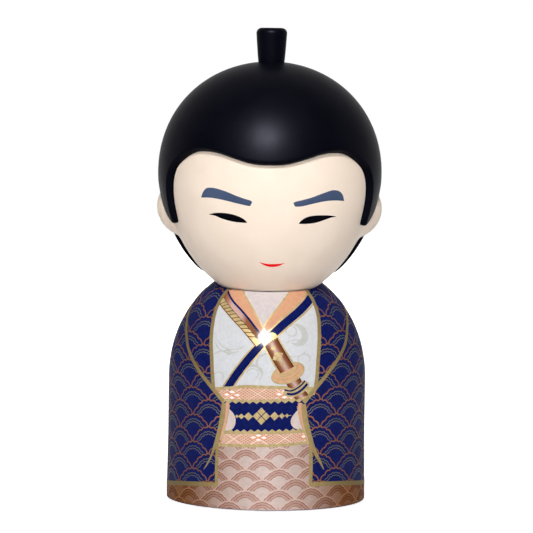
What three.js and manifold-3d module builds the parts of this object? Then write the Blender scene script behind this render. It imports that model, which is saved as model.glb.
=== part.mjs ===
// A samurai figurine about 150 mm tall, built the way a cast doll is: a solid body with a
// dished top, and a round head that turns in that dish on a peg held by a screw from below.
//
// Millimetres, +Z up, the face towards -Y. The origin is the centre of the body's foot, on the
// surface that the figurine stands on. The neck's axis lies a little in front of the body's axis.

import * as THREE from "three";
import { mergeVertices } from "three/addons/utils/BufferGeometryUtils.js";
import Module from "manifold-3d";

const wasm = await Module();
wasm.setup();

// Body
const WAIST_RADIUS = 31.3;
const FOOT_RADIUS = 31.6;
const FOOT_TAPER_HEIGHT = 20; // the foot narrows to the waist up to here
const FOOT_ROUNDING = 0.6; // radius of the foot's outer edge
const SHOULDER_HEIGHT = 39.4; // where the straight wall turns into the shoulders
const SHOULDER_RISE = 35.8; // the shoulders are a quarter ellipse this tall
const DISH_DEPTH = 10.2; // from the top of the shoulders' ellipse to the dish's floor

// Base
const PAD_THICKNESS = 1.6;
const PAD_PROUD = 0.4; // the felt pad keeps the foot this far off the surface
const PAD_RADIUS = 28.4;
const PLUG_LENGTH = 6;
const PLUG_FLANGE_RADIUS = 9.4;
const PLUG_FLANGE_THICKNESS = 1.4;

// Neck
const NECK_FORWARD = 4.8; // from the body's axis to the neck's axis, towards the face
const PEG_RADIUS = 4;
const PEG_IN_HEAD = 14;
const BUSH_WALL = 1.5;
const BUSH_LENGTH = 12;
const BUSH_FLANGE_WIDTH = 1.9; // the flange stands this far out from the barrel
const BUSH_FLANGE_THICKNESS = 1.2;
const FRICTION_WASHER_THICKNESS = 1;
const FRICTION_WASHER_WIDTH = 4.2;
const ACCESS_RADIUS = 7; // the screwdriver's hole through the body
const RETAINER_THICKNESS = 1;
const RETAINER_RADIUS = 6.5;
const SCREW_SHANK_RADIUS = 1.4;
const SCREW_LENGTH = 13;
const SCREW_HEAD_RADIUS = 3.1;
const SCREW_HEAD_HEIGHT = 2.4;
const SCREW_SLOT_WIDTH = 0.9;
const SCREW_SLOT_DEPTH = 1.2;

// Head
const HEAD_RADIUS = 33;
const HEAD_HALF_HEIGHT = 36.6;
const HEAD_LIFT = 3.4; // the head's widest ring lies this far above its mid-height
const SEAT_CUT = 2.4; // the flat that rests on the friction washer is cut this deep

// Hair
const HAIR_THICKNESS = 2.35; // at the head's widest ring
const HAIR_CROWN_THICKNESS = 2.65;
const HAIR_NAPE_TUCK = 0.6; // the hair's lowest point, were it whole, above the head's
const HAIR_LIFT = 2.6;

// The hair's lower edge, as angles from the face round to the nape, and heights above the
// head's mid-height
const PEAK_HEIGHT = 7.7; // the point over the nose
const ARCH_ANGLE = 38;
const ARCH_HEIGHT = 11.8; // the arch over each brow
const SIDEBURN_ANGLE = 70.5; // its tip
const SIDEBURN_HEIGHT = -12.2;
const EAR_NOTCH_HEIGHT = 0.7; // the edge over the ear
const NAPE_HEIGHT = -27.9;

// What the edge does between two of those places: shares of the way round and of the way up or
// down, from the first to the second
const OVER_BROW = [
  [0.26, 0.11],
  [0.53, 0.51],
  [0.74, 0.86],
];
const DOWN_TEMPLE = [
  [0.22, 0.02],
  [0.37, 0.07],
  [0.52, 0.135],
  [0.71, 0.25],
  [0.815, 0.39],
  [0.875, 0.575],
  [0.9, 0.79],
  [0.91, 0.92],
  [0.945, 0.985],
];
const UP_TO_NOTCH = [
  [0.15, 0.04],
  [0.32, 0.155],
  [0.465, 0.32],
  [0.56, 0.5],
  [0.64, 0.71],
  [0.75, 0.915],
];
const DOWN_TO_NAPE = [
  [0.045, 0.02],
  [0.092, 0.115],
  [0.114, 0.262],
  [0.116, 0.4],
  [0.092, 0.521],
  [0.054, 0.61],
  [0.019, 0.696],
  [0.005, 0.783],
  [0, 0.871],
  [0.007, 0.937],
  [0.039, 0.979],
  [0.157, 0.998],
  [0.33, 1],
];

// Ears
const EAR_ANGLE = 91; // from the face
const EAR_HEIGHT = -8.2; // from the head's mid-height
const EAR_HALF_LENGTH = 7;
const EAR_HALF_WIDTH = 4.3;
const EAR_STAND_OUT = 4.1;
const EAR_TENON_RADIUS = 1.2;
const EAR_TENON_LENGTH = 3;
const EAR_TENON_OVERLAP = 1; // how far the tenon reaches into the ear

// Topknot
const TOPKNOT_HEIGHT = 10.95;
const TOPKNOT_BASE_RADIUS = 4.1;
const TOPKNOT_TOP_RADIUS = 4.85;
const TOPKNOT_ROUNDING = 1.7;
const TOPKNOT_SEAT_DEPTH = 0.4; // a flat sunk this far below the hair's crown
const TOPKNOT_PEG_RADIUS = 1.5;
const TOPKNOT_PEG_IN_HEAD = 8;
const TOPKNOT_PEG_IN_KNOT = 6;

// Clearances
const PRESS_CLEARANCE = 0.05; // round a piece that is pressed or glued in
const RUNNING_CLEARANCE = 0.1; // round the peg that turns
const DISH_CLEARANCE = 0.4; // between the head and the dish
const GLUE_GAP = 0.15; // under the hair and the ears
const END_CLEARANCE = 0.3; // at the end of a blind hole, and under the bush
const LOOSE_CLEARANCE = 0.3; // round a washer or a pad

// How finely round shapes are divided
const ROUND_SIDES = 56;
const SMALL_SIDES = 32;
const EGG_STEPS = 20;
const DOME_STEPS = 12;
const DISH_STEPS = 6;
const ROUNDING_STEPS = 4;
const HAIR_EDGE_STEPS = 104;
const HAIR_ROWS = 16;
const COLUMN_LEAN = 1.7; // how early the hair's columns lean, as a power

// Heights that follow from the sizes above
const SHOULDER_TOP = SHOULDER_HEIGHT + SHOULDER_RISE;
const DISH_FLOOR = SHOULDER_TOP - DISH_DEPTH;
const HEAD_SEAT = DISH_FLOOR + FRICTION_WASHER_THICKNESS;
const HEAD_MID = HEAD_SEAT - SEAT_CUT + HEAD_HALF_HEIGHT;
const BUSH_END = DISH_FLOOR - BUSH_LENGTH;
const RETAINER_TOP = BUSH_END - END_CLEARANCE;
const SCREW_HEAD_TOP = RETAINER_TOP - RETAINER_THICKNESS;
const BUSH_RADIUS = PEG_RADIUS + RUNNING_CLEARANCE + BUSH_WALL;
const BUSH_FLANGE_RADIUS = BUSH_RADIUS + BUSH_FLANGE_WIDTH;

// An egg: its radius at angle a is radius * cos(a), and its height there is
// mid + half * sin(a) + lift * cos(a) squared.
const head = { radius: HEAD_RADIUS, mid: HEAD_MID, half: HEAD_HALF_HEIGHT, lift: HEAD_LIFT };
const hairTop = head.mid + head.half + HAIR_CROWN_THICKNESS;
const hairBottom = head.mid - head.half + HAIR_NAPE_TUCK;
const hair = {
  radius: HEAD_RADIUS + HAIR_THICKNESS,
  mid: (hairTop + hairBottom) / 2,
  half: (hairTop - hairBottom) / 2,
  lift: HAIR_LIFT,
};
const TOPKNOT_SEAT = hairTop - TOPKNOT_SEAT_DEPTH;

function grown(egg, gap) {
  return { ...egg, radius: egg.radius + gap, half: egg.half + gap };
}

function eggPoint(egg, angle) {
  const flat = Math.cos(angle);
  const height = egg.mid + egg.half * Math.sin(angle) + egg.lift * flat * flat;
  return new THREE.Vector2(Math.max(egg.radius * flat, 0), height);
}

// The angle at which an egg reaches a height
function eggAngle(egg, height) {
  const rise = height - egg.mid - egg.lift;
  const sine = (2 * rise) / (egg.half + Math.sqrt(egg.half ** 2 - 4 * egg.lift * rise));
  return Math.asin(sine);
}

// The angle at which an egg's upper part has a radius
function upperAngle(egg, radius) {
  return Math.acos(radius / egg.radius);
}

function eggArc(egg, from, to, steps) {
  return Array.from({ length: steps + 1 }, (_, i) => eggPoint(egg, from + ((to - from) * i) / steps));
}

function point(radius, height) {
  return new THREE.Vector2(radius, height);
}

// An arc round a centre, from one angle to another, both measured from pointing outwards
function roundedCorner(centre, radius, from, to) {
  return Array.from({ length: ROUNDING_STEPS + 1 }, (_, i) => {
    const angle = from + ((to - from) * i) / ROUNDING_STEPS;
    return point(centre.x + radius * Math.cos(angle), centre.y + radius * Math.sin(angle));
  });
}

// Solids and meshes

function solidFrom(geometry) {
  const bare = geometry.clone();
  bare.deleteAttribute("normal");
  bare.deleteAttribute("uv");
  const merged = mergeVertices(bare);
  return new wasm.Manifold(
    new wasm.Mesh({
      numProp: 3,
      vertProperties: new Float32Array(merged.attributes.position.array),
      triVerts: new Uint32Array(merged.index.array),
    }),
  );
}

// A turned solid. The profile runs upwards along the outside, as (radius, height) points.
function turned(profile, sides = SMALL_SIDES) {
  const lathe = new THREE.LatheGeometry(profile, sides);
  lathe.rotateX(Math.PI / 2);
  return solidFrom(lathe);
}

function disc(radius, bottom, top, sides = SMALL_SIDES) {
  return turned([point(0, bottom), point(radius, bottom), point(radius, top), point(0, top)], sides);
}

function ring(inner, outer, bottom, top) {
  const corners = [point(inner, bottom), point(outer, bottom), point(outer, top), point(inner, top)];
  return turned([...corners, corners[0]]);
}

function meshFrom(name, solid, material) {
  const { vertProperties, triVerts, numProp, numVert } = solid.getMesh();
  const positions = new Float32Array(numVert * 3);
  for (let i = 0; i < numVert; i++) {
    positions.set(vertProperties.subarray(i * numProp, i * numProp + 3), i * 3);
  }
  const geometry = new THREE.BufferGeometry();
  geometry.setAttribute("position", new THREE.BufferAttribute(positions, 3));
  geometry.setIndex(new THREE.BufferAttribute(new Uint32Array(triVerts), 1));
  geometry.computeVertexNormals();
  const mesh = new THREE.Mesh(geometry, material);
  mesh.name = name;
  return mesh;
}

function finish(color, roughness, metalness = 0) {
  return new THREE.MeshStandardMaterial({ color, roughness, metalness });
}

const navyLacquer = finish(0x16205f, 0.2);
const skinPaint = finish(0xf6e3cf, 0.45);
const hairPaint = finish(0x0c0c12, 0.4);
const felt = finish(0x2a2a2c, 1);
const rubber = finish(0x1c1c1c, 0.9);
const nylon = finish(0xe6e3da, 0.5);
const beech = finish(0xc9a06c, 0.6);
const steel = finish(0xa8abb0, 0.3, 1);

// Body

// The outside: foot, waist and shoulders. The foot's rim stands just off the surface.
function bodyOutside() {
  const edge = roundedCorner(
    point(FOOT_RADIUS - FOOT_ROUNDING, PAD_PROUD + FOOT_ROUNDING),
    FOOT_ROUNDING,
    -Math.PI / 2,
    0,
  );
  const shoulders = Array.from({ length: DOME_STEPS + 1 }, (_, i) => {
    const angle = ((Math.PI / 2) * i) / DOME_STEPS;
    const radius = i === DOME_STEPS ? 0 : WAIST_RADIUS * Math.cos(angle);
    return point(radius, SHOULDER_HEIGHT + SHOULDER_RISE * Math.sin(angle));
  });
  const waist = point(WAIST_RADIUS, FOOT_TAPER_HEIGHT);
  return turned([point(0, PAD_PROUD), ...edge, waist, ...shoulders], ROUND_SIDES);
}

// All that is cut away round the neck's axis: the plug's seat, the hole for the screwdriver,
// the bush's bore and the dish that the head sits in.
function neckHollow() {
  const dish = grown(head, DISH_CLEARANCE);
  const mouth = SHOULDER_TOP + FRICTION_WASHER_THICKNESS;
  const plugHole = ACCESS_RADIUS;
  const bore = BUSH_RADIUS + PRESS_CLEARANCE;
  const flangeSeat = BUSH_FLANGE_RADIUS + PRESS_CLEARANCE;
  const plugSeat = PLUG_FLANGE_RADIUS + PRESS_CLEARANCE;
  return turned(
    [
      point(0, PAD_PROUD),
      point(plugSeat, PAD_PROUD),
      point(plugSeat, PAD_THICKNESS + PLUG_FLANGE_THICKNESS),
      point(plugHole, PAD_THICKNESS + PLUG_FLANGE_THICKNESS),
      point(plugHole, BUSH_END),
      point(bore, BUSH_END),
      point(bore, DISH_FLOOR - BUSH_FLANGE_THICKNESS),
      point(flangeSeat, DISH_FLOOR - BUSH_FLANGE_THICKNESS),
      point(flangeSeat, DISH_FLOOR),
      ...eggArc(dish, eggAngle(dish, DISH_FLOOR), eggAngle(dish, mouth), DISH_STEPS),
      point(0, mouth),
    ],
    ROUND_SIDES,
  ).translate([0, -NECK_FORWARD, 0]);
}

function bodyCasting() {
  const padSeat = disc(PAD_RADIUS + LOOSE_CLEARANCE, 0, PAD_THICKNESS, ROUND_SIDES);
  const solid = bodyOutside().subtract(neckHollow()).subtract(padSeat);
  return meshFrom("body_casting", solid, navyLacquer);
}

function basePad() {
  return meshFrom("base_pad", disc(PAD_RADIUS, 0, PAD_THICKNESS, ROUND_SIDES), felt);
}

function basePlug() {
  const seat = PAD_THICKNESS + PLUG_FLANGE_THICKNESS;
  const stem = ACCESS_RADIUS - PRESS_CLEARANCE;
  const profile = [
    point(0, PAD_THICKNESS),
    point(PLUG_FLANGE_RADIUS, PAD_THICKNESS),
    point(PLUG_FLANGE_RADIUS, seat),
    point(stem, seat),
    point(stem, seat + PLUG_LENGTH),
    point(0, seat + PLUG_LENGTH),
  ];
  return meshFrom("base_plug", turned(profile), rubber);
}

function neckBush() {
  const inner = PEG_RADIUS + RUNNING_CLEARANCE;
  const corners = [
    point(inner, BUSH_END),
    point(BUSH_RADIUS, BUSH_END),
    point(BUSH_RADIUS, DISH_FLOOR - BUSH_FLANGE_THICKNESS),
    point(BUSH_FLANGE_RADIUS, DISH_FLOOR - BUSH_FLANGE_THICKNESS),
    point(BUSH_FLANGE_RADIUS, DISH_FLOOR),
    point(inner, DISH_FLOOR),
  ];
  return meshFrom("neck_bush", turned([...corners, corners[0]]), nylon);
}

function frictionWasher() {
  const inner = PEG_RADIUS + LOOSE_CLEARANCE;
  const solid = ring(inner, inner + FRICTION_WASHER_WIDTH, DISH_FLOOR, HEAD_SEAT);
  return meshFrom("friction_washer", solid, felt);
}

// Head

// The head's outside, larger all round by a gap: what lies on the head is cut with it.
function headForm(gap) {
  const egg = grown(head, gap);
  return turned(eggArc(egg, -Math.PI / 2, Math.PI / 2, EGG_STEPS), ROUND_SIDES);
}

// A tenon's line runs level out of the head at the ear's angle, side being -1 or 1.
function earTenon(side, radius, inner, outer) {
  const turn = THREE.MathUtils.degToRad(EAR_ANGLE);
  const rod = new THREE.CylinderGeometry(radius, radius, outer - inner, SMALL_SIDES / 2);
  rod.rotateZ(Math.PI / 2);
  rod.translate((inner + outer) / 2, 0, 0);
  rod.rotateZ(turn - Math.PI / 2);
  rod.scale(side, 1, 1);
  if (side < 0) {
    rod.index.array.reverse();
  }
  rod.translate(0, 0, HEAD_MID + EAR_HEIGHT);
  return solidFrom(rod);
}

function headRadiusAtEar() {
  return eggPoint(head, eggAngle(head, HEAD_MID + EAR_HEIGHT)).x;
}

function headCasting() {
  const socket = PEG_RADIUS + PRESS_CLEARANCE;
  const socketTop = HEAD_SEAT + PEG_IN_HEAD;
  const knotSocket = TOPKNOT_PEG_RADIUS + PRESS_CLEARANCE;
  const knotSocketFloor = TOPKNOT_SEAT - TOPKNOT_PEG_IN_HEAD - END_CLEARANCE;
  const profile = [
    point(0, socketTop),
    point(socket, socketTop),
    point(socket, HEAD_SEAT),
    ...eggArc(head, eggAngle(head, HEAD_SEAT), upperAngle(head, knotSocket), EGG_STEPS),
    point(knotSocket, knotSocketFloor),
    point(0, knotSocketFloor),
  ];
  const surface = headRadiusAtEar();
  const deep = surface - EAR_TENON_LENGTH - END_CLEARANCE;
  const proud = surface + EAR_STAND_OUT;
  const wide = EAR_TENON_RADIUS + PRESS_CLEARANCE;
  const solid = turned(profile, ROUND_SIDES)
    .subtract(earTenon(-1, wide, deep, proud))
    .subtract(earTenon(1, wide, deep, proud));
  return meshFrom("head_casting", solid, skinPaint);
}

// Spots between two places, by shares of the way round and of the way up or down
function spotsBetween([fromAngle, fromHeight], [toAngle, toHeight], shares) {
  return shares.map(([round, rise]) => [
    THREE.MathUtils.lerp(fromAngle, toAngle, round),
    THREE.MathUtils.lerp(fromHeight, toHeight, rise),
  ]);
}

// The hair's lower edge all the way round, as points (angle from the face, height)
function hairEdge() {
  const peak = [0, HEAD_MID + PEAK_HEIGHT];
  const arch = [ARCH_ANGLE, HEAD_MID + ARCH_HEIGHT];
  const tip = [SIDEBURN_ANGLE, HEAD_MID + SIDEBURN_HEIGHT];
  const notch = [EAR_ANGLE, HEAD_MID + EAR_NOTCH_HEIGHT];
  const nape = [180, HEAD_MID + NAPE_HEIGHT];
  const corners = [
    peak,
    ...spotsBetween(peak, arch, OVER_BROW),
    arch,
    ...spotsBetween(arch, tip, DOWN_TEMPLE),
    tip,
    ...spotsBetween(tip, notch, UP_TO_NOTCH),
    notch,
    ...spotsBetween(notch, nape, DOWN_TO_NAPE),
    nape,
  ];
  const right = corners.map(([angle, height]) => new THREE.Vector3(angle, height, 0));
  const left = right.slice(1).reverse();
  const line = [...left.map(({ x, y }) => new THREE.Vector3(-x, y, 0)), ...right];
  const curve = new THREE.CatmullRomCurve3(line, false, "centripetal");
  return curve.getSpacedPoints(HAIR_EDGE_STEPS).slice(1);
}

// The hair as a shell that sinks into the head, from which the head is cut away. Each column of
// the shell climbs from the lower edge to the crown, and leans until the columns are evenly
// spread there, so that none crosses the opening round the ear.
function hairShell() {
  const columns = hairEdge();
  const eggs = [hair, grown(head, -HAIR_THICKNESS)];
  const positions = [];
  for (const egg of eggs) {
    columns.forEach(({ x: angle, y: height }, column) => {
      const low = eggAngle(egg, height);
      const angleAtCrown = (360 * (column + 1)) / columns.length - 180;
      for (let row = 0; row < HAIR_ROWS; row++) {
        const climbed = row / HAIR_ROWS;
        const leaned = 1 - (1 - climbed) ** COLUMN_LEAN;
        const turn = THREE.MathUtils.degToRad(THREE.MathUtils.lerp(angle, angleAtCrown, leaned));
        const spot = eggPoint(egg, low + (Math.PI / 2 - low) * climbed);
        positions.push(spot.x * Math.sin(turn), -spot.x * Math.cos(turn), spot.y);
      }
    });
  }
  for (const egg of eggs) {
    positions.push(0, 0, egg.mid + egg.half);
  }
  const count = columns.length;
  const [outerCrown, innerCrown] = [2 * count * HAIR_ROWS, 2 * count * HAIR_ROWS + 1];
  const outer = (column, row) => (column % count) * HAIR_ROWS + row;
  const inner = (column, row) => (count + (column % count)) * HAIR_ROWS + row;
  const faces = [];
  for (let column = 0; column < count; column++) {
    const next = column + 1;
    for (let row = 0; row + 1 < HAIR_ROWS; row++) {
      faces.push(outer(column, row), outer(next, row), outer(next, row + 1));
      faces.push(outer(column, row), outer(next, row + 1), outer(column, row + 1));
      faces.push(inner(column, row), inner(next, row + 1), inner(next, row));
      faces.push(inner(column, row), inner(column, row + 1), inner(next, row + 1));
    }
    faces.push(outer(column, HAIR_ROWS - 1), outer(next, HAIR_ROWS - 1), outerCrown);
    faces.push(inner(column, HAIR_ROWS - 1), innerCrown, inner(next, HAIR_ROWS - 1));
    faces.push(outer(column, 0), inner(column, 0), inner(next, 0));
    faces.push(outer(column, 0), inner(next, 0), outer(next, 0));
  }
  const geometry = new THREE.BufferGeometry();
  geometry.setAttribute("position", new THREE.Float32BufferAttribute(positions, 3));
  geometry.setIndex(faces);
  return solidFrom(geometry).subtract(headForm(GLUE_GAP));
}

function hairCap() {
  const clear = hairTop + END_CLEARANCE;
  const seat = disc(TOPKNOT_BASE_RADIUS + LOOSE_CLEARANCE, TOPKNOT_SEAT, clear);
  const below = head.mid + head.half - END_CLEARANCE;
  const hole = disc(TOPKNOT_PEG_RADIUS + PRESS_CLEARANCE, below, clear);
  return meshFrom("hair_cap", hairShell().subtract(seat).subtract(hole), hairPaint);
}

// An ear is half an ellipsoid standing on the head, with a round tenon behind it.
function ear(name, side) {
  const surface = headRadiusAtEar();
  const lobe = new THREE.SphereGeometry(1, SMALL_SIDES / 2, SMALL_SIDES / 2);
  lobe.rotateX(Math.PI / 2);
  lobe.scale(EAR_STAND_OUT, EAR_HALF_WIDTH, EAR_HALF_LENGTH);
  const turn = THREE.MathUtils.degToRad(EAR_ANGLE - 90);
  lobe.translate(surface, 0, 0);
  lobe.rotateZ(turn);
  lobe.scale(side, 1, 1);
  if (side < 0) {
    lobe.index.array.reverse();
  }
  lobe.translate(0, 0, HEAD_MID + EAR_HEIGHT);
  const [inner, outer] = [surface - EAR_TENON_LENGTH, surface + EAR_TENON_OVERLAP];
  const tenon = earTenon(side, EAR_TENON_RADIUS, inner, outer);
  return meshFrom(name, solidFrom(lobe).subtract(headForm(GLUE_GAP)).add(tenon), skinPaint);
}

function topknot() {
  const top = TOPKNOT_SEAT + TOPKNOT_HEIGHT;
  const edge = roundedCorner(
    point(TOPKNOT_TOP_RADIUS - TOPKNOT_ROUNDING, top - TOPKNOT_ROUNDING),
    TOPKNOT_ROUNDING,
    0,
    Math.PI / 2,
  );
  const socket = TOPKNOT_PEG_RADIUS + PRESS_CLEARANCE;
  const socketTop = TOPKNOT_SEAT + TOPKNOT_PEG_IN_KNOT + END_CLEARANCE;
  const profile = [
    point(0, socketTop),
    point(socket, socketTop),
    point(socket, TOPKNOT_SEAT),
    point(TOPKNOT_BASE_RADIUS, TOPKNOT_SEAT),
    ...edge,
    point(0, top),
  ];
  return meshFrom("topknot", turned(profile), hairPaint);
}

function topknotPeg() {
  const bottom = TOPKNOT_SEAT - TOPKNOT_PEG_IN_HEAD;
  const top = TOPKNOT_SEAT + TOPKNOT_PEG_IN_KNOT;
  return meshFrom("topknot_peg", disc(TOPKNOT_PEG_RADIUS, bottom, top), beech);
}

function neckPeg() {
  const top = HEAD_SEAT + PEG_IN_HEAD - END_CLEARANCE;
  const pilot = SCREW_SHANK_RADIUS + PRESS_CLEARANCE;
  const pilotTop = SCREW_HEAD_TOP + SCREW_LENGTH + END_CLEARANCE;
  const profile = [
    point(0, pilotTop),
    point(pilot, pilotTop),
    point(pilot, RETAINER_TOP),
    point(PEG_RADIUS, RETAINER_TOP),
    point(PEG_RADIUS, top),
    point(0, top),
  ];
  return meshFrom("neck_peg", turned(profile), beech);
}

function retainingWasher() {
  const hole = SCREW_SHANK_RADIUS + LOOSE_CLEARANCE;
  const solid = ring(hole, RETAINER_RADIUS, SCREW_HEAD_TOP, RETAINER_TOP);
  return meshFrom("retaining_washer", solid, steel);
}

function retainingScrew() {
  const bottom = SCREW_HEAD_TOP - SCREW_HEAD_HEIGHT;
  const profile = [
    point(0, bottom),
    point(SCREW_HEAD_RADIUS, bottom),
    point(SCREW_HEAD_RADIUS, SCREW_HEAD_TOP),
    point(SCREW_SHANK_RADIUS, SCREW_HEAD_TOP),
    point(SCREW_SHANK_RADIUS, SCREW_HEAD_TOP + SCREW_LENGTH),
    point(0, SCREW_HEAD_TOP + SCREW_LENGTH),
  ];
  const across = 3 * SCREW_HEAD_RADIUS; // longer than the head is wide
  const slot = new THREE.BoxGeometry(across, SCREW_SLOT_WIDTH, 2 * SCREW_SLOT_DEPTH);
  slot.translate(0, 0, bottom);
  return meshFrom("retaining_screw", turned(profile).subtract(solidFrom(slot)), steel);
}

// Assembly

function groupAt(forward, ...pieces) {
  const group = new THREE.Group();
  group.position.y = -forward;
  group.add(...pieces);
  return group;
}

const body = groupAt(0, bodyCasting(), basePad());
const neck = groupAt(NECK_FORWARD, basePlug(), neckBush(), frictionWasher());
const turningHead = groupAt(
  NECK_FORWARD,
  headCasting(),
  hairCap(),
  ear("ear_left", 1),
  ear("ear_right", -1),
  topknot(),
  topknotPeg(),
  neckPeg(),
  retainingWasher(),
  retainingScrew(),
);

const figurine = new THREE.Group();
figurine.add(body, neck, turningHead);

export default figurine;
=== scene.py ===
"""The looks of a samurai figurine: a lacquered body with a printed dress, and a satin head with
raised hair. Sizes are in millimetres, and meshes are written in metres. The face looks along -Y.

What is printed on the body or painted on the face is laid out flat, as places (u, z): u runs round
from the front, to the viewer's right, along a circle of a fixed radius, and z is the height.
"""

from collections import namedtuple

import bpy
import numpy as np
from mathutils import Matrix, Vector


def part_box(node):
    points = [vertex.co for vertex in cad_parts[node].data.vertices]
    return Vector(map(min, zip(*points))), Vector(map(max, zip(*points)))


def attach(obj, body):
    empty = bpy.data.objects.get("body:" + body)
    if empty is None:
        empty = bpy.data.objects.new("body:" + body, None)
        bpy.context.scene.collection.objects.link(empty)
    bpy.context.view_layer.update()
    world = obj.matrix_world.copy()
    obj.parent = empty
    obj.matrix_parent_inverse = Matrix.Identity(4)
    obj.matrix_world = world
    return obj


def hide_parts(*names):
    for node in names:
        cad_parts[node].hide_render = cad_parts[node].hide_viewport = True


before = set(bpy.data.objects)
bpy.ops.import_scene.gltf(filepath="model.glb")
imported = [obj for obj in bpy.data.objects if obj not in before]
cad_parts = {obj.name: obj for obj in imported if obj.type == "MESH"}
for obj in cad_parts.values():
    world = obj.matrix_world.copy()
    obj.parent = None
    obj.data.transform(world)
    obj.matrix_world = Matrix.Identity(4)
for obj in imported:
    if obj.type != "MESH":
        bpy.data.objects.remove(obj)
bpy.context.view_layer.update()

MM = 0.001


def node_box(name):
    """The lowest and highest corner of a CAD node, in millimetres."""
    low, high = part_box(name)
    return np.array(low) / MM, np.array(high) / MM


# Body
foot_low, foot_high = node_box("body_casting")
FOOT_RADIUS = (foot_high[0] - foot_low[0]) / 2
FOOT_Z = foot_low[2]
FOOT_ROUNDING = 0.6
WAIST_RADIUS = 31.3
WAIST_Z = 20
SHOULDER_Z = 39.4
SHOULDER_RISE = 35.8
FLAT_RADIUS = 31.4  # the circle along which u is measured on the body

# Base, in the foot
PAD_SEAT_RADIUS = 28.7
PAD_TOP = node_box("base_pad")[1][2]
PLUG_SEAT_RADIUS = 9.45
PLUG_SEAT_Z = 3

# Neck
bush_low, bush_high = node_box("neck_bush")
NECK_Y = (bush_low[1] + bush_high[1]) / 2
DISH_FLOOR = bush_high[2]
BUSH_BOTTOM = bush_low[2]
BUSH_FLANGE_BOTTOM = DISH_FLOOR - 1.2
FLANGE_SEAT_RADIUS = (bush_high[0] - bush_low[0]) / 2 + 0.05
BUSH_BORE_RADIUS = 5.65
ACCESS_RADIUS = 7
DISH_CLEARANCE = 0.4
HEAD_SEAT = node_box("friction_washer")[1][2]
SOCKET_RADIUS = 4.05
SOCKET_TOP = HEAD_SEAT + 14

# Topknot
knot_low, knot_high = node_box("topknot")
KNOT_SEAT = knot_low[2]
KNOT_TOP = knot_high[2]
KNOT_BASE_RADIUS = 4.1
KNOT_TOP_RADIUS = (knot_high[0] - knot_low[0]) / 2
KNOT_ROUNDING = 1.7
KNOT_FLARE = 0.8  # the power by which it widens upwards
KNOT_PEG_HOLE_RADIUS = 1.55
KNOT_PEG_HOLE_FLOOR = KNOT_SEAT - 8.3
KNOT_PEG_HOLE_TOP = KNOT_SEAT + 6.3

# Ears
EAR_ANGLE = 91
EAR_Z = 92
EAR_STAND_OUT = 4.1
EAR_HALF_LENGTH = 7.6
EAR_FRONT_WIDTH = 8.5
EAR_BACK_WIDTH = 4.6
EAR_SPREAD = 1.35  # the lobe's mesh ends here, as a share of its oval
EAR_SOFTNESS = 0.03  # how gently the lobe's foot runs out
EAR_ROUNDNESS = 0.8  # the power of its height
EAR_SINK = 0.5
EAR_FOOT_SINK = 0.1  # its outer side runs out this deep in the head

# An egg's radius at angle a is radius * cos(a), and its height there is
# mid + half * sin(a) + lift * cos(a) squared.
Egg = namedtuple("Egg", "radius mid half lift")
HEAD = Egg(33, 100.2, 36.6, 3.4)
HAIR = Egg((node_box("hair_cap")[1][0] - node_box("hair_cap")[0][0]) / 2, 101.825, 37.625, 2.6)
DISH = Egg(HEAD.radius + DISH_CLEARANCE, HEAD.mid, HEAD.half + DISH_CLEARANCE, HEAD.lift)

# How finely shapes are divided
BODY_COLUMNS = 512
HEAD_COLUMNS = 320
HAIR_COLUMNS = 560
SMALL_COLUMNS = 96
LINE_STEP = 0.6
PANEL_CELL = 1.2
FINE_CELL = 0.6
DIAMOND_TIP = 0.02  # half the width of a diamond's blunt tips
OVAL_END = 0.02  # an ellipse's outline stops this turn short of its tips

# Print lies on the body in thin layers, and each goes a little way into what carries it. A
# plate's or a ribbon's layer is the height of its top in steps of LAYER, and print that covers
# other print has a higher one.
LAYER = 0.02
SINK = 0.03
RIM_MARGIN = 0.04


# Round forms


def smooth_step(value):
    """Rises from 0 to 1 as 3t^2 - 2t^3, level at both ends."""
    t = np.clip(value, 0, 1)
    return t * t * (3 - 2 * t)


def egg_angle(egg, z):
    """The angle at which an egg reaches a height: the root of its height formula."""
    rise = z - egg.mid - egg.lift
    return np.arcsin(2 * rise / (egg.half + np.sqrt(egg.half**2 - 4 * egg.lift * rise)))


def egg_ring(egg, angle):
    """Radius and height of an egg at an angle."""
    flat = np.cos(angle)
    return egg.radius * flat, egg.mid + egg.half * np.sin(angle) + egg.lift * flat**2


def egg_radius(egg, z):
    """Radius of an egg at a height."""
    return egg.radius * np.cos(egg_angle(egg, z))


def body_radius(z):
    """Rounded foot, straight taper from foot to waist, straight wall, and a quarter ellipse for
    the shoulders."""
    low = np.clip((z - FOOT_Z - FOOT_ROUNDING) / (WAIST_Z - FOOT_Z - FOOT_ROUNDING), 0, 1)
    rise = np.clip((z - SHOULDER_Z) / SHOULDER_RISE, 0, 0.999)
    below = np.clip((FOOT_Z + FOOT_ROUNDING - z) / FOOT_ROUNDING, 0, 1)
    rounded = FOOT_ROUNDING * (1 - np.sqrt(1 - below**2))
    return (FOOT_RADIUS + (WAIST_RADIUS - FOOT_RADIUS) * low) * np.sqrt(1 - rise**2) - rounded


def around(axis_y, turn, radius, z):
    """Points about an upright axis. A turn of 0 is in front and grows to the viewer's right."""
    x = radius * np.sin(turn)
    return np.stack([x, axis_y - radius * np.cos(turn), z + 0 * x], -1)


def rim_height(turn):
    """Height at which the shoulders meet the dish, at a turn round the body's axis. The dish
    stands about the neck's axis, so the height is found by halving an interval."""
    low = np.full_like(turn, DISH_FLOOR + 0.5)
    high = np.full_like(turn, SHOULDER_Z + SHOULDER_RISE - 1)
    for _ in range(40):
        middle = (low + high) / 2
        radius = body_radius(middle)
        reach = np.hypot(radius * np.sin(turn), -radius * np.cos(turn) - NECK_Y)
        outside = reach > egg_radius(DISH, middle)
        low = np.where(outside, middle, low)
        high = np.where(outside, high, middle)
    return (low + high) / 2


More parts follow.
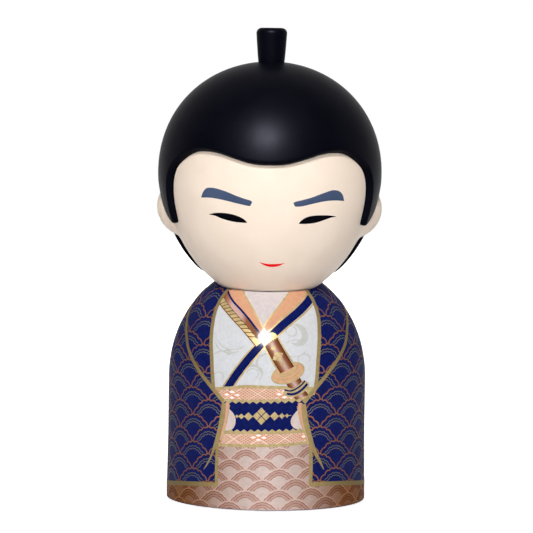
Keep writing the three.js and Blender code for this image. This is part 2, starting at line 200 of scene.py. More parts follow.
class Form:
    """A round form about an upright axis, on which flat places (u, z) are laid."""

    def __init__(self, radius_at, flat_radius, axis_y, top_at=None):
        self.radius_at = radius_at
        self.flat_radius = flat_radius
        self.axis_y = axis_y
        self.top_at = top_at

    def normal(self, z):
        """Outward and upward parts of the surface's normal, from the slope of the radius."""
        step = 0.01
        slope = (self.radius_at(z + step) - self.radius_at(z - step)) / (2 * step)
        length = np.sqrt(1 + slope**2)
        return 1 / length, -slope / length

    def place(self, spots, lift):
        """Points at flat places, lifted off the surface along its normal."""
        turn = spots[..., 0] / self.flat_radius
        z = spots[..., 1]
        if self.top_at is not None:
            z = np.minimum(z, self.top_at(turn) - RIM_MARGIN)
        out, up = self.normal(z)
        return around(self.axis_y, turn, self.radius_at(z) + lift * out, z + lift * up)

    def sideways(self, line, ahead):
        """Flat steps at right angles to a line's direction, each one real millimetre long."""
        z = line[:, 1]
        wide, tall = self.radius_at(z) / self.flat_radius, 1 / self.normal(z)[0]
        run, rise = ahead[:, 0] * wide, ahead[:, 1] * tall
        length = np.hypot(run, rise)
        return np.stack([-rise / length / wide, run / length / tall], -1)


BODY_FORM = Form(body_radius, FLAT_RADIUS, 0, rim_height)
HEAD_FORM = Form(lambda z: egg_radius(HEAD, z), HEAD.radius, NECK_Y)


# Meshes

Part = namedtuple("Part", "points quads triangles across")


def outward(points, quads, triangles, across):
    """A closed part with its faces turned outwards: they are reversed if its volume, summed over
    the tetrahedra between each face and the middle of the part, is negative."""
    centred = points - points.mean(0)
    corners = np.vstack([quads[:, [0, 1, 2]], quads[:, [0, 2, 3]], triangles])
    a, b, c = (centred[corners[:, i]] for i in range(3))
    if np.sum(a * np.cross(b, c)) < 0:
        quads = quads[:, ::-1]
        triangles = triangles[:, ::-1]
    return Part(points, quads, triangles, across)


def loft(rings, ends, across=None):
    """A closed surface through rings of points, each ring closed. The ends are "points", where the
    first and the last ring are one point each, "loop", where the last ring joins the first, or
    "flat", where each end is closed straight across between the ring's two halves."""
    rows, columns = rings.shape[:2]
    triangles = np.zeros((0, 3), int)
    if across is None:
        across = np.zeros((rows, columns))
    if ends == "points":
        points = np.vstack([rings[0, :1], rings[1:-1].reshape(-1, 3), rings[-1, :1]])
        shares = np.concatenate([across[0, :1], across[1:-1].ravel(), across[-1, :1]])
        index = 1 + np.arange((rows - 2) * columns).reshape(rows - 2, columns)
        last = len(points) - 1
        first_fan = np.stack([np.zeros(columns, int), np.roll(index[0], -1), index[0]], -1)
        last_fan = np.stack([np.full(columns, last), index[-1], np.roll(index[-1], -1)], -1)
        triangles = np.vstack([first_fan, last_fan])
    else:
        points = rings.reshape(-1, 3)
        shares = across.ravel()
        index = np.arange(rows * columns).reshape(rows, columns)
    if ends == "loop":
        index = np.vstack([index, index[:1]])
    near, far = index[:-1], index[1:]
    quads = np.stack([near, np.roll(near, -1, 1), np.roll(far, -1, 1), far], -1).reshape(-1, 4)
    if ends == "flat":
        k = np.arange(columns // 2 - 1)
        cap = np.stack([k, columns - 1 - k, columns - 2 - k, k + 1], -1)
        quads = np.vstack([quads, index[0][cap], index[-1][cap[:, ::-1]]])
    return outward(points, quads, triangles, shares)


def turned(profile, columns):
    """A profile of (radius, height) points turned round the neck's axis, closed at both ends."""
    radius, height = np.array(profile, float).T[:, :, None]
    turn = np.linspace(0, 2 * np.pi, columns, endpoint=False)
    return loft(around(NECK_Y, turn, radius, height), "points")


def new_object(name, data):
    """An object in the scene that carries the data."""
    thing = bpy.data.objects.new(name, data)
    bpy.context.scene.collection.objects.link(thing)
    return thing


Paint = namedtuple("Paint", "material slot")


def piece(name, parts, paint, body="body", sharp=35):
    """One object from one or more parts. It rides on a body, and edges sharper than the given
    angle stay sharp."""
    parts = parts if isinstance(parts, list) else [parts]
    starts = np.cumsum([0] + [len(part.points) for part in parts])
    points = np.vstack([part.points for part in parts]) * MM
    quads = np.vstack([part.quads + start for part, start in zip(parts, starts)])
    triangles = np.vstack([part.triangles + start for part, start in zip(parts, starts)])
    mesh = bpy.data.meshes.new(name)
    mesh.from_pydata(points.tolist(), [], quads.tolist() + triangles.tolist())
    shares = mesh.attributes.new("across", "FLOAT", "POINT")
    shares.data.foreach_set("value", np.concatenate([part.across for part in parts]))
    mesh.shade_smooth()
    mesh.set_sharp_from_angle(angle=np.radians(sharp))
    mesh.materials.append(paint.material)
    thing = new_object(name, mesh)
    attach(thing, body)
    return thing


# Flat lines and panels


def even(line, count):
    """A line sampled anew at equal distances along it."""
    steps = np.hypot(*np.diff(line, axis=0).T)
    along = np.concatenate([[0], np.cumsum(steps)])
    at = np.linspace(0, along[-1], count)
    return np.stack([np.interp(at, along, line[:, 0]), np.interp(at, along, line[:, 1])], -1)


def length_of(line):
    return np.hypot(*np.diff(line, axis=0).T).sum()


def straight(*spots, step=LINE_STEP):
    """A line with straight sides between the given places, which it keeps as its corners."""
    sides = []
    for start, end in zip(spots, spots[1:]):
        side = np.array([start, end], float)
        sides.append(even(side, max(2, int(length_of(side) / step) + 1))[:-1])
    return np.vstack(sides + [[spots[-1]]])


def curved(*spots, step=LINE_STEP):
    """A smooth line through the given places: between two of them it is a cubic whose slopes at
    the places are those of the chords beside them."""
    knots = np.array(spots, float)
    at = np.concatenate([[0], np.cumsum(np.hypot(*np.diff(knots, axis=0).T))])
    slopes = np.gradient(knots, at, axis=0)
    fine = np.linspace(0, at[-1], max(3, 3 * int(at[-1] / step) + 1))
    i = np.clip(np.searchsorted(at, fine, side="right") - 1, 0, len(at) - 2)
    width = (at[i + 1] - at[i])[:, None]
    t = (fine - at[i])[:, None] / width
    line = (
        (2 * t**3 - 3 * t**2 + 1) * knots[i]
        + (t**3 - 2 * t**2 + t) * width * slopes[i]
        + (3 * t**2 - 2 * t**3) * knots[i + 1]
        + (t**3 - t**2) * width * slopes[i + 1]
    )
    return even(line, max(2, int(at[-1] / step) + 1))


def panel(rails, layer, closed=False, form=BODY_FORM):
    """A thin closed plate under flat lines that run side by side, as rails[across, along]. Its top
    follows the form at its layer's height, and its underside lies just under the surface."""
    rails = np.asarray(rails, float)
    top = form.place(rails, layer * LAYER)
    bottom = form.place(rails, -SINK)
    rings = np.concatenate([top, bottom[::-1]]).transpose(1, 0, 2)
    share = np.linspace(0, 1, len(rails))
    across = np.tile(np.concatenate([share, share[::-1]]), (rails.shape[1], 1))
    return loft(rings, "loop" if closed else "flat", across)


def ribbon(line, width, layer):
    """A strip of a real width carried along a flat line of the body."""
    side = BODY_FORM.sideways(line, np.gradient(line, axis=0))
    half = np.broadcast_to(width, len(line))[:, None] / 2
    rails = 2 if np.max(width) < 1 else 4
    return panel(line + np.linspace(-1, 1, rails)[:, None, None] * side * half, layer)


def between(one, other, layer, cell=PANEL_CELL, form=BODY_FORM):
    """A plate that fills the space between two flat lines with the same direction."""
    count = max(2, int(max(length_of(one), length_of(other)) / cell) + 1)
    one, other = even(one, count), even(other, count)
    gap = np.hypot(*(one - other).T).max()
    shares = np.linspace(0, 1, max(2, int(gap / cell) + 2))[:, None, None]
    return panel(one + shares * (other - one), layer, form=form)


def tilted(degrees):
    """Two axes at right angles, turned by a tilt from level and upright."""
    lean = np.radians(degrees)
    return np.array([[np.cos(lean), np.sin(lean)], [-np.sin(lean), np.cos(lean)]])


def diamond(centre, half_width, half_height, layer, axes=np.eye(2)):
    """A diamond standing on its point. Its width and height lie along the two axes."""
    shares = np.linspace(-DIAMOND_TIP, DIAMOND_TIP, 3)
    wide = np.linspace(-half_width, half_width, 3)
    rails = [[(tip, -half_height), (w, 0), (tip, half_height)] for tip, w in zip(shares, wide)]
    return panel(centre + np.array(rails) @ axes, layer)


def four_diamonds(centre, half_width, half_height, reach, layer, axes=np.eye(2)):
    """Four diamonds round a point."""
    steps = [(reach[0], 0), (0, reach[1]), (-reach[0], 0), (0, -reach[1])]
    spots = centre + np.array(steps) @ axes
    return [diamond(spot, half_width, half_height, layer, axes) for spot in spots]


def oval(centre, half_length, half_width, tilt, layer):
    """An ellipse, turned by a tilt in degrees."""
    turn = np.linspace(OVAL_END, np.pi - OVAL_END, 40)
    upper = np.stack([half_length * np.cos(turn), half_width * np.sin(turn)], -1)
    lower = upper * (1, -1)
    axes = tilted(tilt)
    return between(centre + upper @ axes, centre + lower @ axes, layer, 0.7)


# Materials


def colour(red, green, blue):
    """A colour given as it shows on a screen, 0 to 255, in the shader's linear light."""
    value = np.array([red, green, blue]) / 255
    linear = np.where(value <= 0.04045, value / 12.92, ((value + 0.055) / 1.055) ** 2.4)
    return (*linear, 1)


def fill(tree, socket, value):
    """Gives an input a value or, where that is another node's output, a link."""
    if isinstance(value, bpy.types.NodeSocket):
        tree.links.new(value, socket)
    else:
        socket.default_value = value


def give(tree, node, **inputs):
    """Fills a node's inputs by name. An underscore stands for a space."""
    for name, value in inputs.items():
        fill(tree, node.inputs[name.replace("_", " ")], value)
    return node


def math_node(tree, operation, *values):
    """The result of one step of arithmetic."""
    node = tree.nodes.new("ShaderNodeMath")
    node.operation = operation
    for socket, value in zip(node.inputs, values):
        fill(tree, socket, value)
    return node.outputs[0]


EVEN = (1, 1, 1)  # noise that isn't stretched
NOISE_LOW, NOISE_HIGH = 0.3, 0.7  # between these lies most of what noise gives
# An ink's side colour is painted shade, standing in for the light falling off round the sides; it
# is full from this angle round
PAINTED_SHADE_ANGLE = 56  # ink has its darker side colour from here round


class Finish:
    """A material with one principled shader, to which colour variation and bumps are added."""

    def __init__(self, name, roughness, **settings):
        self.material = bpy.data.materials.new(name)
        self.material.use_nodes = True
        self.tree = self.material.node_tree
        self.shader = self.tree.nodes["Principled BSDF"]
        self.place = self.add("TexCoord").outputs["Object"]
        self.roughness = roughness
        self.height = None
        self.set(Roughness=roughness, **settings)

    def add(self, kind, **inputs):
        return give(self.tree, self.tree.nodes.new("ShaderNode" + kind), **inputs)

    def set(self, **inputs):
        give(self.tree, self.shader, **inputs)

    def noise(self, size, detail=3, stretch=EVEN):
        """Cloudy noise whose features are about the given size, in millimetres."""
        spots = self.add("Mapping", Vector=self.place, Scale=stretch).outputs["Vector"]
        node = self.add("TexNoise", Vector=spots, Scale=1 / (size * MM), Detail=detail)
        return node.outputs["Fac"]

    def ramp(self, value, *stops):
        """A run of colours along a value, as (position, colour) stops."""
        node = self.add("ValToRGB", Fac=value)
        elements = node.color_ramp.elements
        while len(elements) < len(stops):
            elements.new(0.5)
        for element, (position, shade) in zip(elements, stops):
            element.position = position
            element.color = colour(*shade)
        return node.outputs["Color"]

    def mottle(self, light, dark, size, stretch=EVEN, side=None):
        """A base colour that wanders between two shades, and may darken towards a third one round
        the sides and the back. That third colour is painted shade, fixed to the object, standing in
        for the light falling off away from the front."""
        shade = self.ramp(self.noise(size, stretch=stretch), (0.35, dark), (0.65, light))
        if side is not None:
            mix = self.add("Mix")
            mix.data_type = "RGBA"
            give(self.tree, mix, Factor=self.painted_shade_share(), A=shade, B=colour(*side))
            shade = mix.outputs["Result"]
        self.set(Base_Color=shade)

    def painted_shade_share(self):
        """How much painted shade the ink takes: 0 at the front and 1 at the sides and the back, by
        the angle round the upright axis.
        """
        parts = self.add("SeparateXYZ", Vector=self.place).outputs
        away = math_node(self.tree, "MULTIPLY", parts["Y"], -1)
        turn = math_node(self.tree, "ARCTAN2", parts["X"], away)
        turn = math_node(self.tree, "ABSOLUTE", turn)
        node = self.add("MapRange", Value=turn, From_Max=np.radians(PAINTED_SHADE_ANGLE))
        node.interpolation_type = "SMOOTHSTEP"
        return node.outputs["Result"]

    def uneven_gloss(self, spread, size):
        """Roughness that wanders by a spread either way."""
        node = self.add("MapRange", Value=self.noise(size), From_Min=NOISE_LOW, From_Max=NOISE_HIGH)
        give(self.tree, node, To_Min=self.roughness - spread, To_Max=self.roughness + spread)
        self.set(Roughness=node.outputs["Result"])

    def bump(self, size, height, coat_too=False, stretch=EVEN):
        """Fine unevenness of the given size and height, in millimetres."""
        node = self.add("Bump", Distance=height * MM, Height=self.noise(size, 2, stretch))
        if self.height is not None:
            give(self.tree, node, Normal=self.height)
        self.height = node.outputs["Normal"]
        self.set(Normal=self.height)
        if coat_too:
            self.set(Coat_Normal=self.height)


LACQUER = 0.085  # how strongly the clear lacquer over the print reflects
LACQUER_ROUGHNESS = 0.14


def under_lacquer(name, roughness, metallic=0):
    """Ink without a shine of its own, under the body's clear lacquer."""
    coat = {"Coat_Weight": LACQUER, "Coat_Roughness": LACQUER_ROUGHNESS}
    return Finish(name, roughness, Metallic=metallic, Specular_IOR_Level=0, **coat)


def printed(name, slot, light, dark, side=None, metallic=0, roughness=0.42):
    """Printing ink: a little cloudy, and grainy. A side colour, where given, is painted shade round
    the sides and the back.
    """
    ink = under_lacquer(name, roughness, metallic)
    ink.mottle(light, dark, 1.2, side=side)
    ink.uneven_gloss(0.06, 0.5)
    ink.bump(0.35, 0.0015, coat_too=True)
    ink.bump(0.25, 0.004)
    return Paint(ink.material, slot)


# Where an ink has a third colour, that is painted shade: the ink darkens to it round the sides and
# the back, standing in for the light falling off there
NAVY_LACQUER = printed("navy_lacquer", "dress_navy", (11, 25, 94), (7, 18, 80), roughness=0.35)
COPPER_INK = printed("copper_ink", "print_copper", (188, 121, 74), (166, 103, 60), (118, 79, 58))
OLIVE_INK = printed("olive_ink", "print_gold", (132, 127, 104), (112, 108, 90), (92, 92, 84), 0.03)
TRIM_INK = printed("trim_ink", "print_gold", (194, 172, 118), (172, 151, 98), (126, 108, 70), 0.03)
GOLD_INK = printed("gold_ink", "print_gold", (198, 178, 130), (176, 155, 108), metallic=0.03)
PEARL_WHITE = printed("pearl_white", "dress_white", (215, 216, 219), (207, 208, 212))
SWIRL_GREY = printed("swirl_grey", "dress_white", (198, 198, 194), (190, 190, 186))
COLLAR_PEARL = printed("collar_pearl", "dress_white", (211, 202, 201), (203, 193, 194))
FLOWER_WHITE = printed("flower_white", "dress_white", (252, 248, 246), (246, 240, 238))
PEACH_INK = printed("peach_ink", "dress_peach", (217, 164, 130), (211, 157, 123))
LINING_INK = printed("lining_ink", "dress_peach", (220, 168, 144), (212, 158, 132))
SALMON_INK = printed("salmon_ink", "dress_peach", (206, 148, 118), (200, 141, 110))
SALMON_LINE = printed("salmon_line", "dress_peach", (246, 228, 214), (240, 216, 200))
SALMON_PALE = printed("salmon_pale", "dress_peach", (232, 202, 184), (224, 190, 170))
ORANGE_INK = printed("orange_ink", "dress_peach", (230, 160, 120), (222, 148, 108))
ROSE_INK = printed("rose_ink", "dress_rose", (211, 183, 175), (202, 172, 163), (116, 70, 36))
FAN_INK = printed("fan_ink", "dress_rose", (216, 198, 192), (208, 188, 181), (132, 86, 54))
CREAM_INK = printed("cream_ink", "dress_rose", (224, 200, 191), (215, 190, 180), (164, 112, 72))
BAND_INK = printed("band_ink", "dress_rose", (202, 168, 158), (194, 158, 147), (130, 78, 40))
UMBER_INK = printed("umber_ink", "dress_brown", (172, 128, 112), (156, 110, 92), (72, 34, 13))
BROWN_INK = printed("brown_ink", "dress_brown", (126, 76, 40), (104, 58, 28))
HAND_INK = printed("hand_ink", "skin", (220, 203, 197), (211, 193, 187))


def shaded(name, slot, *stops):
    """Ink that is printed in a run of shades from one side of each plate to the other."""
    ink = under_lacquer(name, 0.4)
    across = ink.add("Attribute")
    across.attribute_name = "across"
    ink.set(Base_Color=ink.ramp(across.outputs["Fac"], *stops))
    ink.bump(0.35, 0.0015, coat_too=True)
    return Paint(ink.material, slot)


SWORD_BROWN = shaded(
    "shaded_brown",
    "dress_brown",
    (0.0, (88, 42, 20)),
    (0.22, (146, 90, 60)),
    (0.48, (204, 172, 166)),
    (0.74, (140, 84, 54)),
    (1.0, (84, 38, 16)),
)
MAUVE_INK = shaded(
    "mauve_ink",
    "dress_brown",
    (0.0, (128, 74, 40)),
    (0.14, (166, 112, 90)),
    (0.3, (204, 170, 162)),
    (0.56, (198, 162, 154)),
    (0.68, (146, 94, 62)),
    (1.0, (118, 74, 50)),
)


def satin(name, slot, light, dark, roughness, grain, shine, tint=(1, 1, 1)):
    """Sprayed satin paint: nearly even in colour, with a fine orange-peel surface."""
    paint = Finish(name, roughness, Specular_IOR_Level=shine, Specular_Tint=(*tint, 1))
    paint.mottle(light, dark, 9)
    paint.uneven_gloss(0.015, 3)
    paint.bump(0.5, grain)
    paint.bump(0.22, grain / 3)
    return Paint(paint.material, slot)


BLUISH = (0.78, 0.8, 1)
BLACK = ((6, 6, 15), (3, 3, 10))

SKIN_PAINT = satin("skin_paint", "skin", (254, 236, 218), (251, 232, 213), 0.4, 0.004, 0.055)
HAIR_PAINT = satin("hair_paint", "hair", *BLACK, 0.4, 0.016, 0.0165, BLUISH)
KNOT_PAINT = satin("knot_paint", "hair", *BLACK, 0.42, 0.009, 0.016, BLUISH)
EYE_PAINT = satin("eye_paint", "face_paint", (6, 6, 12), (3, 3, 8), 0.45, 0.004, 0.01)
BROW_PAINT = satin("brow_paint", "face_paint", (76, 91, 120), (66, 80, 109), 0.5, 0.004, 0.015)
LIP_PAINT = satin("lip_paint", "lip_paint", (244, 10, 14), (228, 4, 10), 0.45, 0.004, 0.015)


def fibrous(name, light, dark):
    """Wool felt: matt, with a fibrous bump."""
    cloth = Finish(name, 0.95, Sheen_Weight=0.4)
    cloth.mottle(light, dark, 0.6)
    cloth.bump(0.35, 0.12)
    cloth.bump(0.12, 0.05)
    return cloth.material


def moulded(name, light, dark, roughness):
    """Moulded nylon or rubber: even, with faint flow marks and fine pitting."""
    plastic = Finish(name, roughness)
    plastic.mottle(light, dark, 3)
    plastic.uneven_gloss(0.08, 1.2)
    plastic.bump(0.3, 0.015)
    return plastic.material


def beech_wood():
    """Beech: fine grain along the dowel, with short darker flecks."""
    wood = Finish("beech_wood", 0.6)
    wood.mottle((214, 172, 122), (184, 138, 92), 0.7, stretch=(1, 1, 0.12))
    wood.uneven_gloss(0.1, 0.8)
    wood.bump(0.3, 0.03, stretch=(1, 1, 0.1))
    return wood.material


def turned_steel():
    """Zinc-plated steel with fine turning marks."""
    metal = Finish("turned_steel", 0.3, Metallic=1)
    metal.mottle((196, 200, 204), (168, 172, 178), 1.5)
    metal.uneven_gloss(0.08, 0.5)
    metal.bump(0.15, 0.006, stretch=(1, 1, 4))
    return metal.material


FELT = fibrous("felt", (52, 52, 55), (34, 34, 37))
RUBBER = moulded("rubber", (34, 34, 34), (24, 24, 24), 0.75)
NYLON = moulded("nylon", (232, 229, 220), (220, 216, 205), 0.45)
BEECH = beech_wood()
STEEL = turned_steel()

INNER_FINISHES = {
    "base_pad": FELT,
    "friction_washer": FELT,
    "base_plug": RUBBER,
    "neck_bush": NYLON,
    "topknot_peg": BEECH,
    "neck_peg": BEECH,
    "retaining_washer": STEEL,
    "retaining_screw": STEEL,
}
for node, material in INNER_FINISHES.items():
    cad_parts[node].material_slots[0].material = material


# Castings


def body_casting():
    """The body as one closed skin: foot, wall and shoulders about the body's axis, then the dish,
    the bush's seat, the access bore and the plug's seat about the neck's axis, back to the foot."""
    turn = np.linspace(0, 2 * np.pi, BODY_COLUMNS, endpoint=False)
    rim = rim_height(turn)

    def about_body(radius, z):
        return around(0, turn, radius, z)

    rim_spots = about_body(body_radius(rim), rim)
    neck_turn = np.arctan2(rim_spots[:, 0], NECK_Y - rim_spots[:, 1])

    def about_neck(radius, z):
        return around(NECK_Y, neck_turn, radius, z)

    rings = [about_body(PAD_SEAT_RADIUS, PAD_TOP), about_body(PAD_SEAT_RADIUS, FOOT_Z)]
    for bend in np.radians(np.linspace(-90, 0, 7)):
        radius = FOOT_RADIUS - FOOT_ROUNDING + FOOT_ROUNDING * np.cos(bend)
        rings.append(about_body(radius, FOOT_Z + FOOT_ROUNDING + FOOT_ROUNDING * np.sin(bend)))
    for z in np.linspace(FOOT_Z + FOOT_ROUNDING, SHOULDER_Z, 20)[1:]:
        rings.append(about_body(body_radius(z), z))
    for share in np.linspace(0, 1, 45)[1:]:
        z = SHOULDER_Z + (rim - SHOULDER_Z) * share
        rings.append(about_body(body_radius(z), z))
    for share in np.linspace(0, 1, 10)[1:]:
        z = rim + (DISH_FLOOR - rim) * share
        rings.append(about_neck(egg_radius(DISH, z), z))
    rings += [
        about_neck(FLANGE_SEAT_RADIUS, DISH_FLOOR),
        about_neck(FLANGE_SEAT_RADIUS, BUSH_FLANGE_BOTTOM),
        about_neck(BUSH_BORE_RADIUS, BUSH_FLANGE_BOTTOM),
        about_neck(BUSH_BORE_RADIUS, BUSH_BOTTOM),
        about_neck(ACCESS_RADIUS, BUSH_BOTTOM),
        about_neck(ACCESS_RADIUS, PLUG_SEAT_Z),
        about_neck(PLUG_SEAT_RADIUS, PLUG_SEAT_Z),
        about_neck(PLUG_SEAT_RADIUS, PAD_TOP),
    ]
    casting = piece("body_lacquer", loft(np.array(rings), "loop"), NAVY_LACQUER)
    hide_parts("body_casting")


def head_casting():
    """The head as an egg with a flat seat, the peg's socket below and the topknot's above."""
    seat = egg_angle(HEAD, HEAD_SEAT)
    crown = np.arccos(KNOT_PEG_HOLE_RADIUS / HEAD.radius)
    radius, z = egg_ring(HEAD, np.linspace(seat, crown, 110))
    profile = [(0, SOCKET_TOP), (SOCKET_RADIUS, SOCKET_TOP), (SOCKET_RADIUS, HEAD_SEAT)]
    profile += list(zip(radius, z))
    profile += [(KNOT_PEG_HOLE_RADIUS, KNOT_PEG_HOLE_FLOOR), (0, KNOT_PEG_HOLE_FLOOR)]
    casting = piece("head_skin", turned(profile, HEAD_COLUMNS), SKIN_PAINT, "head")
    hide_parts("head_casting")


def ear(name, side):
    """A rounded ear as a swelling of the head. Over an oval whose front part is longer than its
    back, the height is a power of one minus the squared share of the way out, with a soft foot."""
    turn = np.linspace(0, 2 * np.pi, SMALL_COLUMNS, endpoint=False)
    share = np.linspace(0, EAR_SPREAD, 34)[:, None]
    back = np.cos(turn) > 0
    x = share * np.cos(turn) * np.where(back, EAR_BACK_WIDTH, EAR_FRONT_WIDTH)
    z = EAR_Z + share * np.sin(turn) * EAR_HALF_LENGTH
    u = side * (np.radians(EAR_ANGLE) * HEAD.radius + x)
    left = 1 - share**2
    soft = (left + np.sqrt(left**2 + EAR_SOFTNESS)) / 2
    height = EAR_STAND_OUT * soft**EAR_ROUNDNESS - EAR_FOOT_SINK
    spots = np.stack([u, z], -1)
    outer = HEAD_FORM.place(spots, height)
    inner = HEAD_FORM.place(spots, -EAR_SINK)
    lobe = loft(np.concatenate([outer, inner[::-1]]), "points")
    thing = piece(name + "_skin", lobe, SKIN_PAINT, "head", sharp=60)
    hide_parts(name)


# The hair's lower edge on the right, as (degrees from the face, height)
HAIR_EDGE = [
    (0, 107.9), (10, 108.35), (20, 109.95), (28, 111.35), (36, 112.0), (43, 111.85), (50, 110.4),
    (55, 108.75), (61, 106.0), (64.3, 102.8), (66.3, 98.2), (67.2, 93.5), (67.7, 90.2),
    (68.7, 88.5), (70.5, 88.0), (73.5, 88.55), (77, 90.1), (80.1, 92.2), (82.1, 94.5), (83.7, 97.2),
    (86, 99.8), (90.5, 100.9), (95, 100.3), (99.2, 97.6), (101.2, 93.4), (101.3, 89.5), (99.2, 86),
    (95.8, 83.5), (92.7, 81), (91.4, 78.5), (91, 76), (91.6, 74.1), (94.5, 72.9), (105, 72.35),
    (120, 72.3), (150, 72.3), (180, 72.3),
]
HAIR_LIP = 1.1  # radius of the rounded lip along the hair's edge
COLUMN_LEAN = 1.7
HAIR_SINK = 0.5  # the shell's inner side lies this deep in the head
HAIR_FOOT_SINK = 0.4  # and the foot of its lip this deep
HAIR_ROWS = 56
HAIR_ROWS_POWER = 1.15  # its rows lie closer together near the edge


def hair_cap():
    """The hair as a shell. Along its lower edge the lip is a quarter ellipse, from the skin out to
    the hair's full thickness. Each column then climbs to the crown, outside and inside, and leans
    by a power of its climb until the columns are evenly spread."""
    side = np.array(HAIR_EDGE) * (np.radians(1) * HAIR.radius, 1)
    knots = np.vstack([side[:0:-1] * (-1, 1), side])
    edge = even(curved(*knots, step=0.15), HAIR_COLUMNS + 1)[:-1]

    hair_form = Form(lambda z: egg_radius(HAIR, z), HAIR.radius, NECK_Y)
    ahead = np.roll(edge, -1, 0) - np.roll(edge, 1, 0)
    half_round = np.pi * HAIR.radius
    ahead[:, 0] = (ahead[:, 0] + half_round) % (2 * half_round) - half_round
    inward = hair_form.sideways(edge, ahead)

    def thickness(z):
        out, _ = hair_form.normal(z)
        return (egg_radius(HAIR, z) - egg_radius(HEAD, z)) * out

    rings = []
    for bend in np.radians(np.linspace(0, 90, 9)):
        spots = edge + inward * HAIR_LIP * (1 - np.cos(bend))
        full = thickness(spots[:, 1])
        rings.append(hair_form.place(spots, -full * (1 - np.sin(bend))))
    foot = hair_form.place(edge, -thickness(edge[:, 1]) - HAIR_FOOT_SINK)
    turn = spots[:, 0] / HAIR.radius
    outer_low = egg_angle(HAIR, spots[:, 1])
    inner_low = egg_angle(HEAD, edge[:, 1])

    crown_turn = np.linspace(-np.pi, np.pi, HAIR_COLUMNS, endpoint=False)

    def column_ring(egg, low, share, shrink, start):
        radius, z = egg_ring(egg, low + (np.pi / 2 - low) * share)
        radius = np.maximum(radius - shrink, 0)
        turn = start + (crown_turn - start) * (1 - (1 - share) ** COLUMN_LEAN)
        return around(NECK_Y, turn, radius, z - shrink * (share > 0.5))

    shares = np.linspace(0, 1, HAIR_ROWS)[1:] ** HAIR_ROWS_POWER
    rings += [column_ring(HAIR, outer_low, share, 0, turn) for share in shares]
    edge_turn = edge[:, 0] / HAIR.radius
    back_down = np.linspace(1, 0.06, 14)
    inner = [column_ring(HEAD, inner_low, share, HAIR_SINK, edge_turn) for share in back_down]
    shell = loft(np.array(inner + [foot] + rings), "points")
    cap = piece("hair_shell", shell, HAIR_PAINT, "head", sharp=50)
    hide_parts("hair_cap")


def topknot():
    """The knot: nearly straight sides that widen upwards, and a rounded top edge."""
    bend = np.radians(np.linspace(0, 90, 12))
    radius = KNOT_TOP_RADIUS - KNOT_ROUNDING + KNOT_ROUNDING * np.cos(bend)
    z = KNOT_TOP - KNOT_ROUNDING + KNOT_ROUNDING * np.sin(bend)
    rise = np.linspace(0, 1, 14)[:-1]
    flare = KNOT_BASE_RADIUS + (KNOT_TOP_RADIUS - KNOT_BASE_RADIUS) * rise**KNOT_FLARE
    profile = [(0, KNOT_PEG_HOLE_TOP), (KNOT_PEG_HOLE_RADIUS, KNOT_PEG_HOLE_TOP)]
    profile += [(KNOT_PEG_HOLE_RADIUS, KNOT_SEAT)]
    profile += list(zip(flare, KNOT_SEAT + rise * (KNOT_TOP - KNOT_ROUNDING - KNOT_SEAT)))
    profile += list(zip(radius, z)) + [(0, KNOT_TOP)]
    knot = piece("topknot_hair", turned(profile, SMALL_COLUMNS), KNOT_PAINT, "head")
    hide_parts("topknot")


body_casting()
head_casting()
ear("ear_left", 1)
ear("ear_right", -1)
hair_cap()
topknot()


# Dress: the coat's edges
# The print is turned a little round the body, and it climbs a little to the right.

PRINT_CENTRE = -0.8
COAT_LEAN = 0.019
SKIRT_LEAN = 0.045

TRIM_WIDTH = 1.22
LEFT_LAPEL = curved(
    (-21.9, 69.8), (-22.9, 66.8), (-23.05, 63.75), (-22.5, 60.6), (-21.6, 57.5), (-20.1, 52),
    (-18.8, 47), (-18.05, 42.5), (-17.5, 38),
)
RIGHT_LAPEL = curved(
    (20.9, 69.8), (21.75, 66.5), (21.55, 63.3), (20.9, 60.5), (19.2, 55.5), (17.8, 50.6),
    (16.8, 46.1), (16.2, 41.5), (15.6, 38),
)
LEFT_SLEEVE = curved(
    (-52, 67), (-44, 61.4), (-40, 58.4), (-35, 54.3), (-30, 49), (-25, 44.3), (-20, 39.8),
    (-16.6, 36.7), (-13.9, 34),
)
RIGHT_SLEEVE = curved(
    (52, 64), (44, 60.6), (38, 57.9), (35, 55.7), (30, 51), (25, 46.8), (20, 42.5), (15.7, 38.3),
    (11.8, 34.1),
)
LEFT_MOUTH_BACK = curved(
    (-14.4, 33.6), (-14.6, 31.9), (-15.2, 28), (-15.9, 24.8), (-16.95, 21), (-17.9, 17.9),
    (-18.9, 15.4), (-20.3, 13.2), (-20.9, 12.3),
)
LEFT_MOUTH_FRONT = curved(
    (-13.0, 33.6), (-13.1, 31.9), (-13.5, 28), (-14.3, 25.1), (-15.2, 21.3), (-16.9, 18.3),
    (-18.2, 15.7), (-20.0, 13), (-20.75, 12.2),
)
RIGHT_MOUTH_BACK = curved(
    (12.5, 33.6), (12.8, 31.5), (13.4, 28.3), (14.5, 24.4), (15.8, 20.3), (17.1, 17.5), (18.4, 15),
    (19.3, 12.9),
)
RIGHT_MOUTH_FRONT = curved(
    (10.95, 33.6), (11.1, 31.2), (11.9, 26.9), (12.9, 24), (14.2, 20.6), (16, 17.1), (17.7, 14.8),
    (19.15, 12.8),
)
LEFT_SKIRT_EDGE = straight((-15.9, 21.4), (-15.95, 14), (-15.9, 7.4))
RIGHT_SKIRT_EDGE = straight((14.45, 21.6), (14.5, 14), (14.45, 7.9))

HEM_Z = 8.1
HEM_DROP = 2.9
HEM_WIDTH = 1.35
SLEEVE_WIDTHS = (0.85, 1.3)  # from the shoulder down to the mouth
LEFT_EDGE_WIDTH = 1.05
RIGHT_EDGE_WIDTH = 1.15
MOUTH_FOOT_Z = 21  # the coat's edge follows the sleeve's mouth down to here


def leaning(u, lean):
    """How far the print's lean lifts it: a share of the distance to the right of the middle."""
    return lean * FLAT_RADIUS * np.sin(u / FLAT_RADIUS)


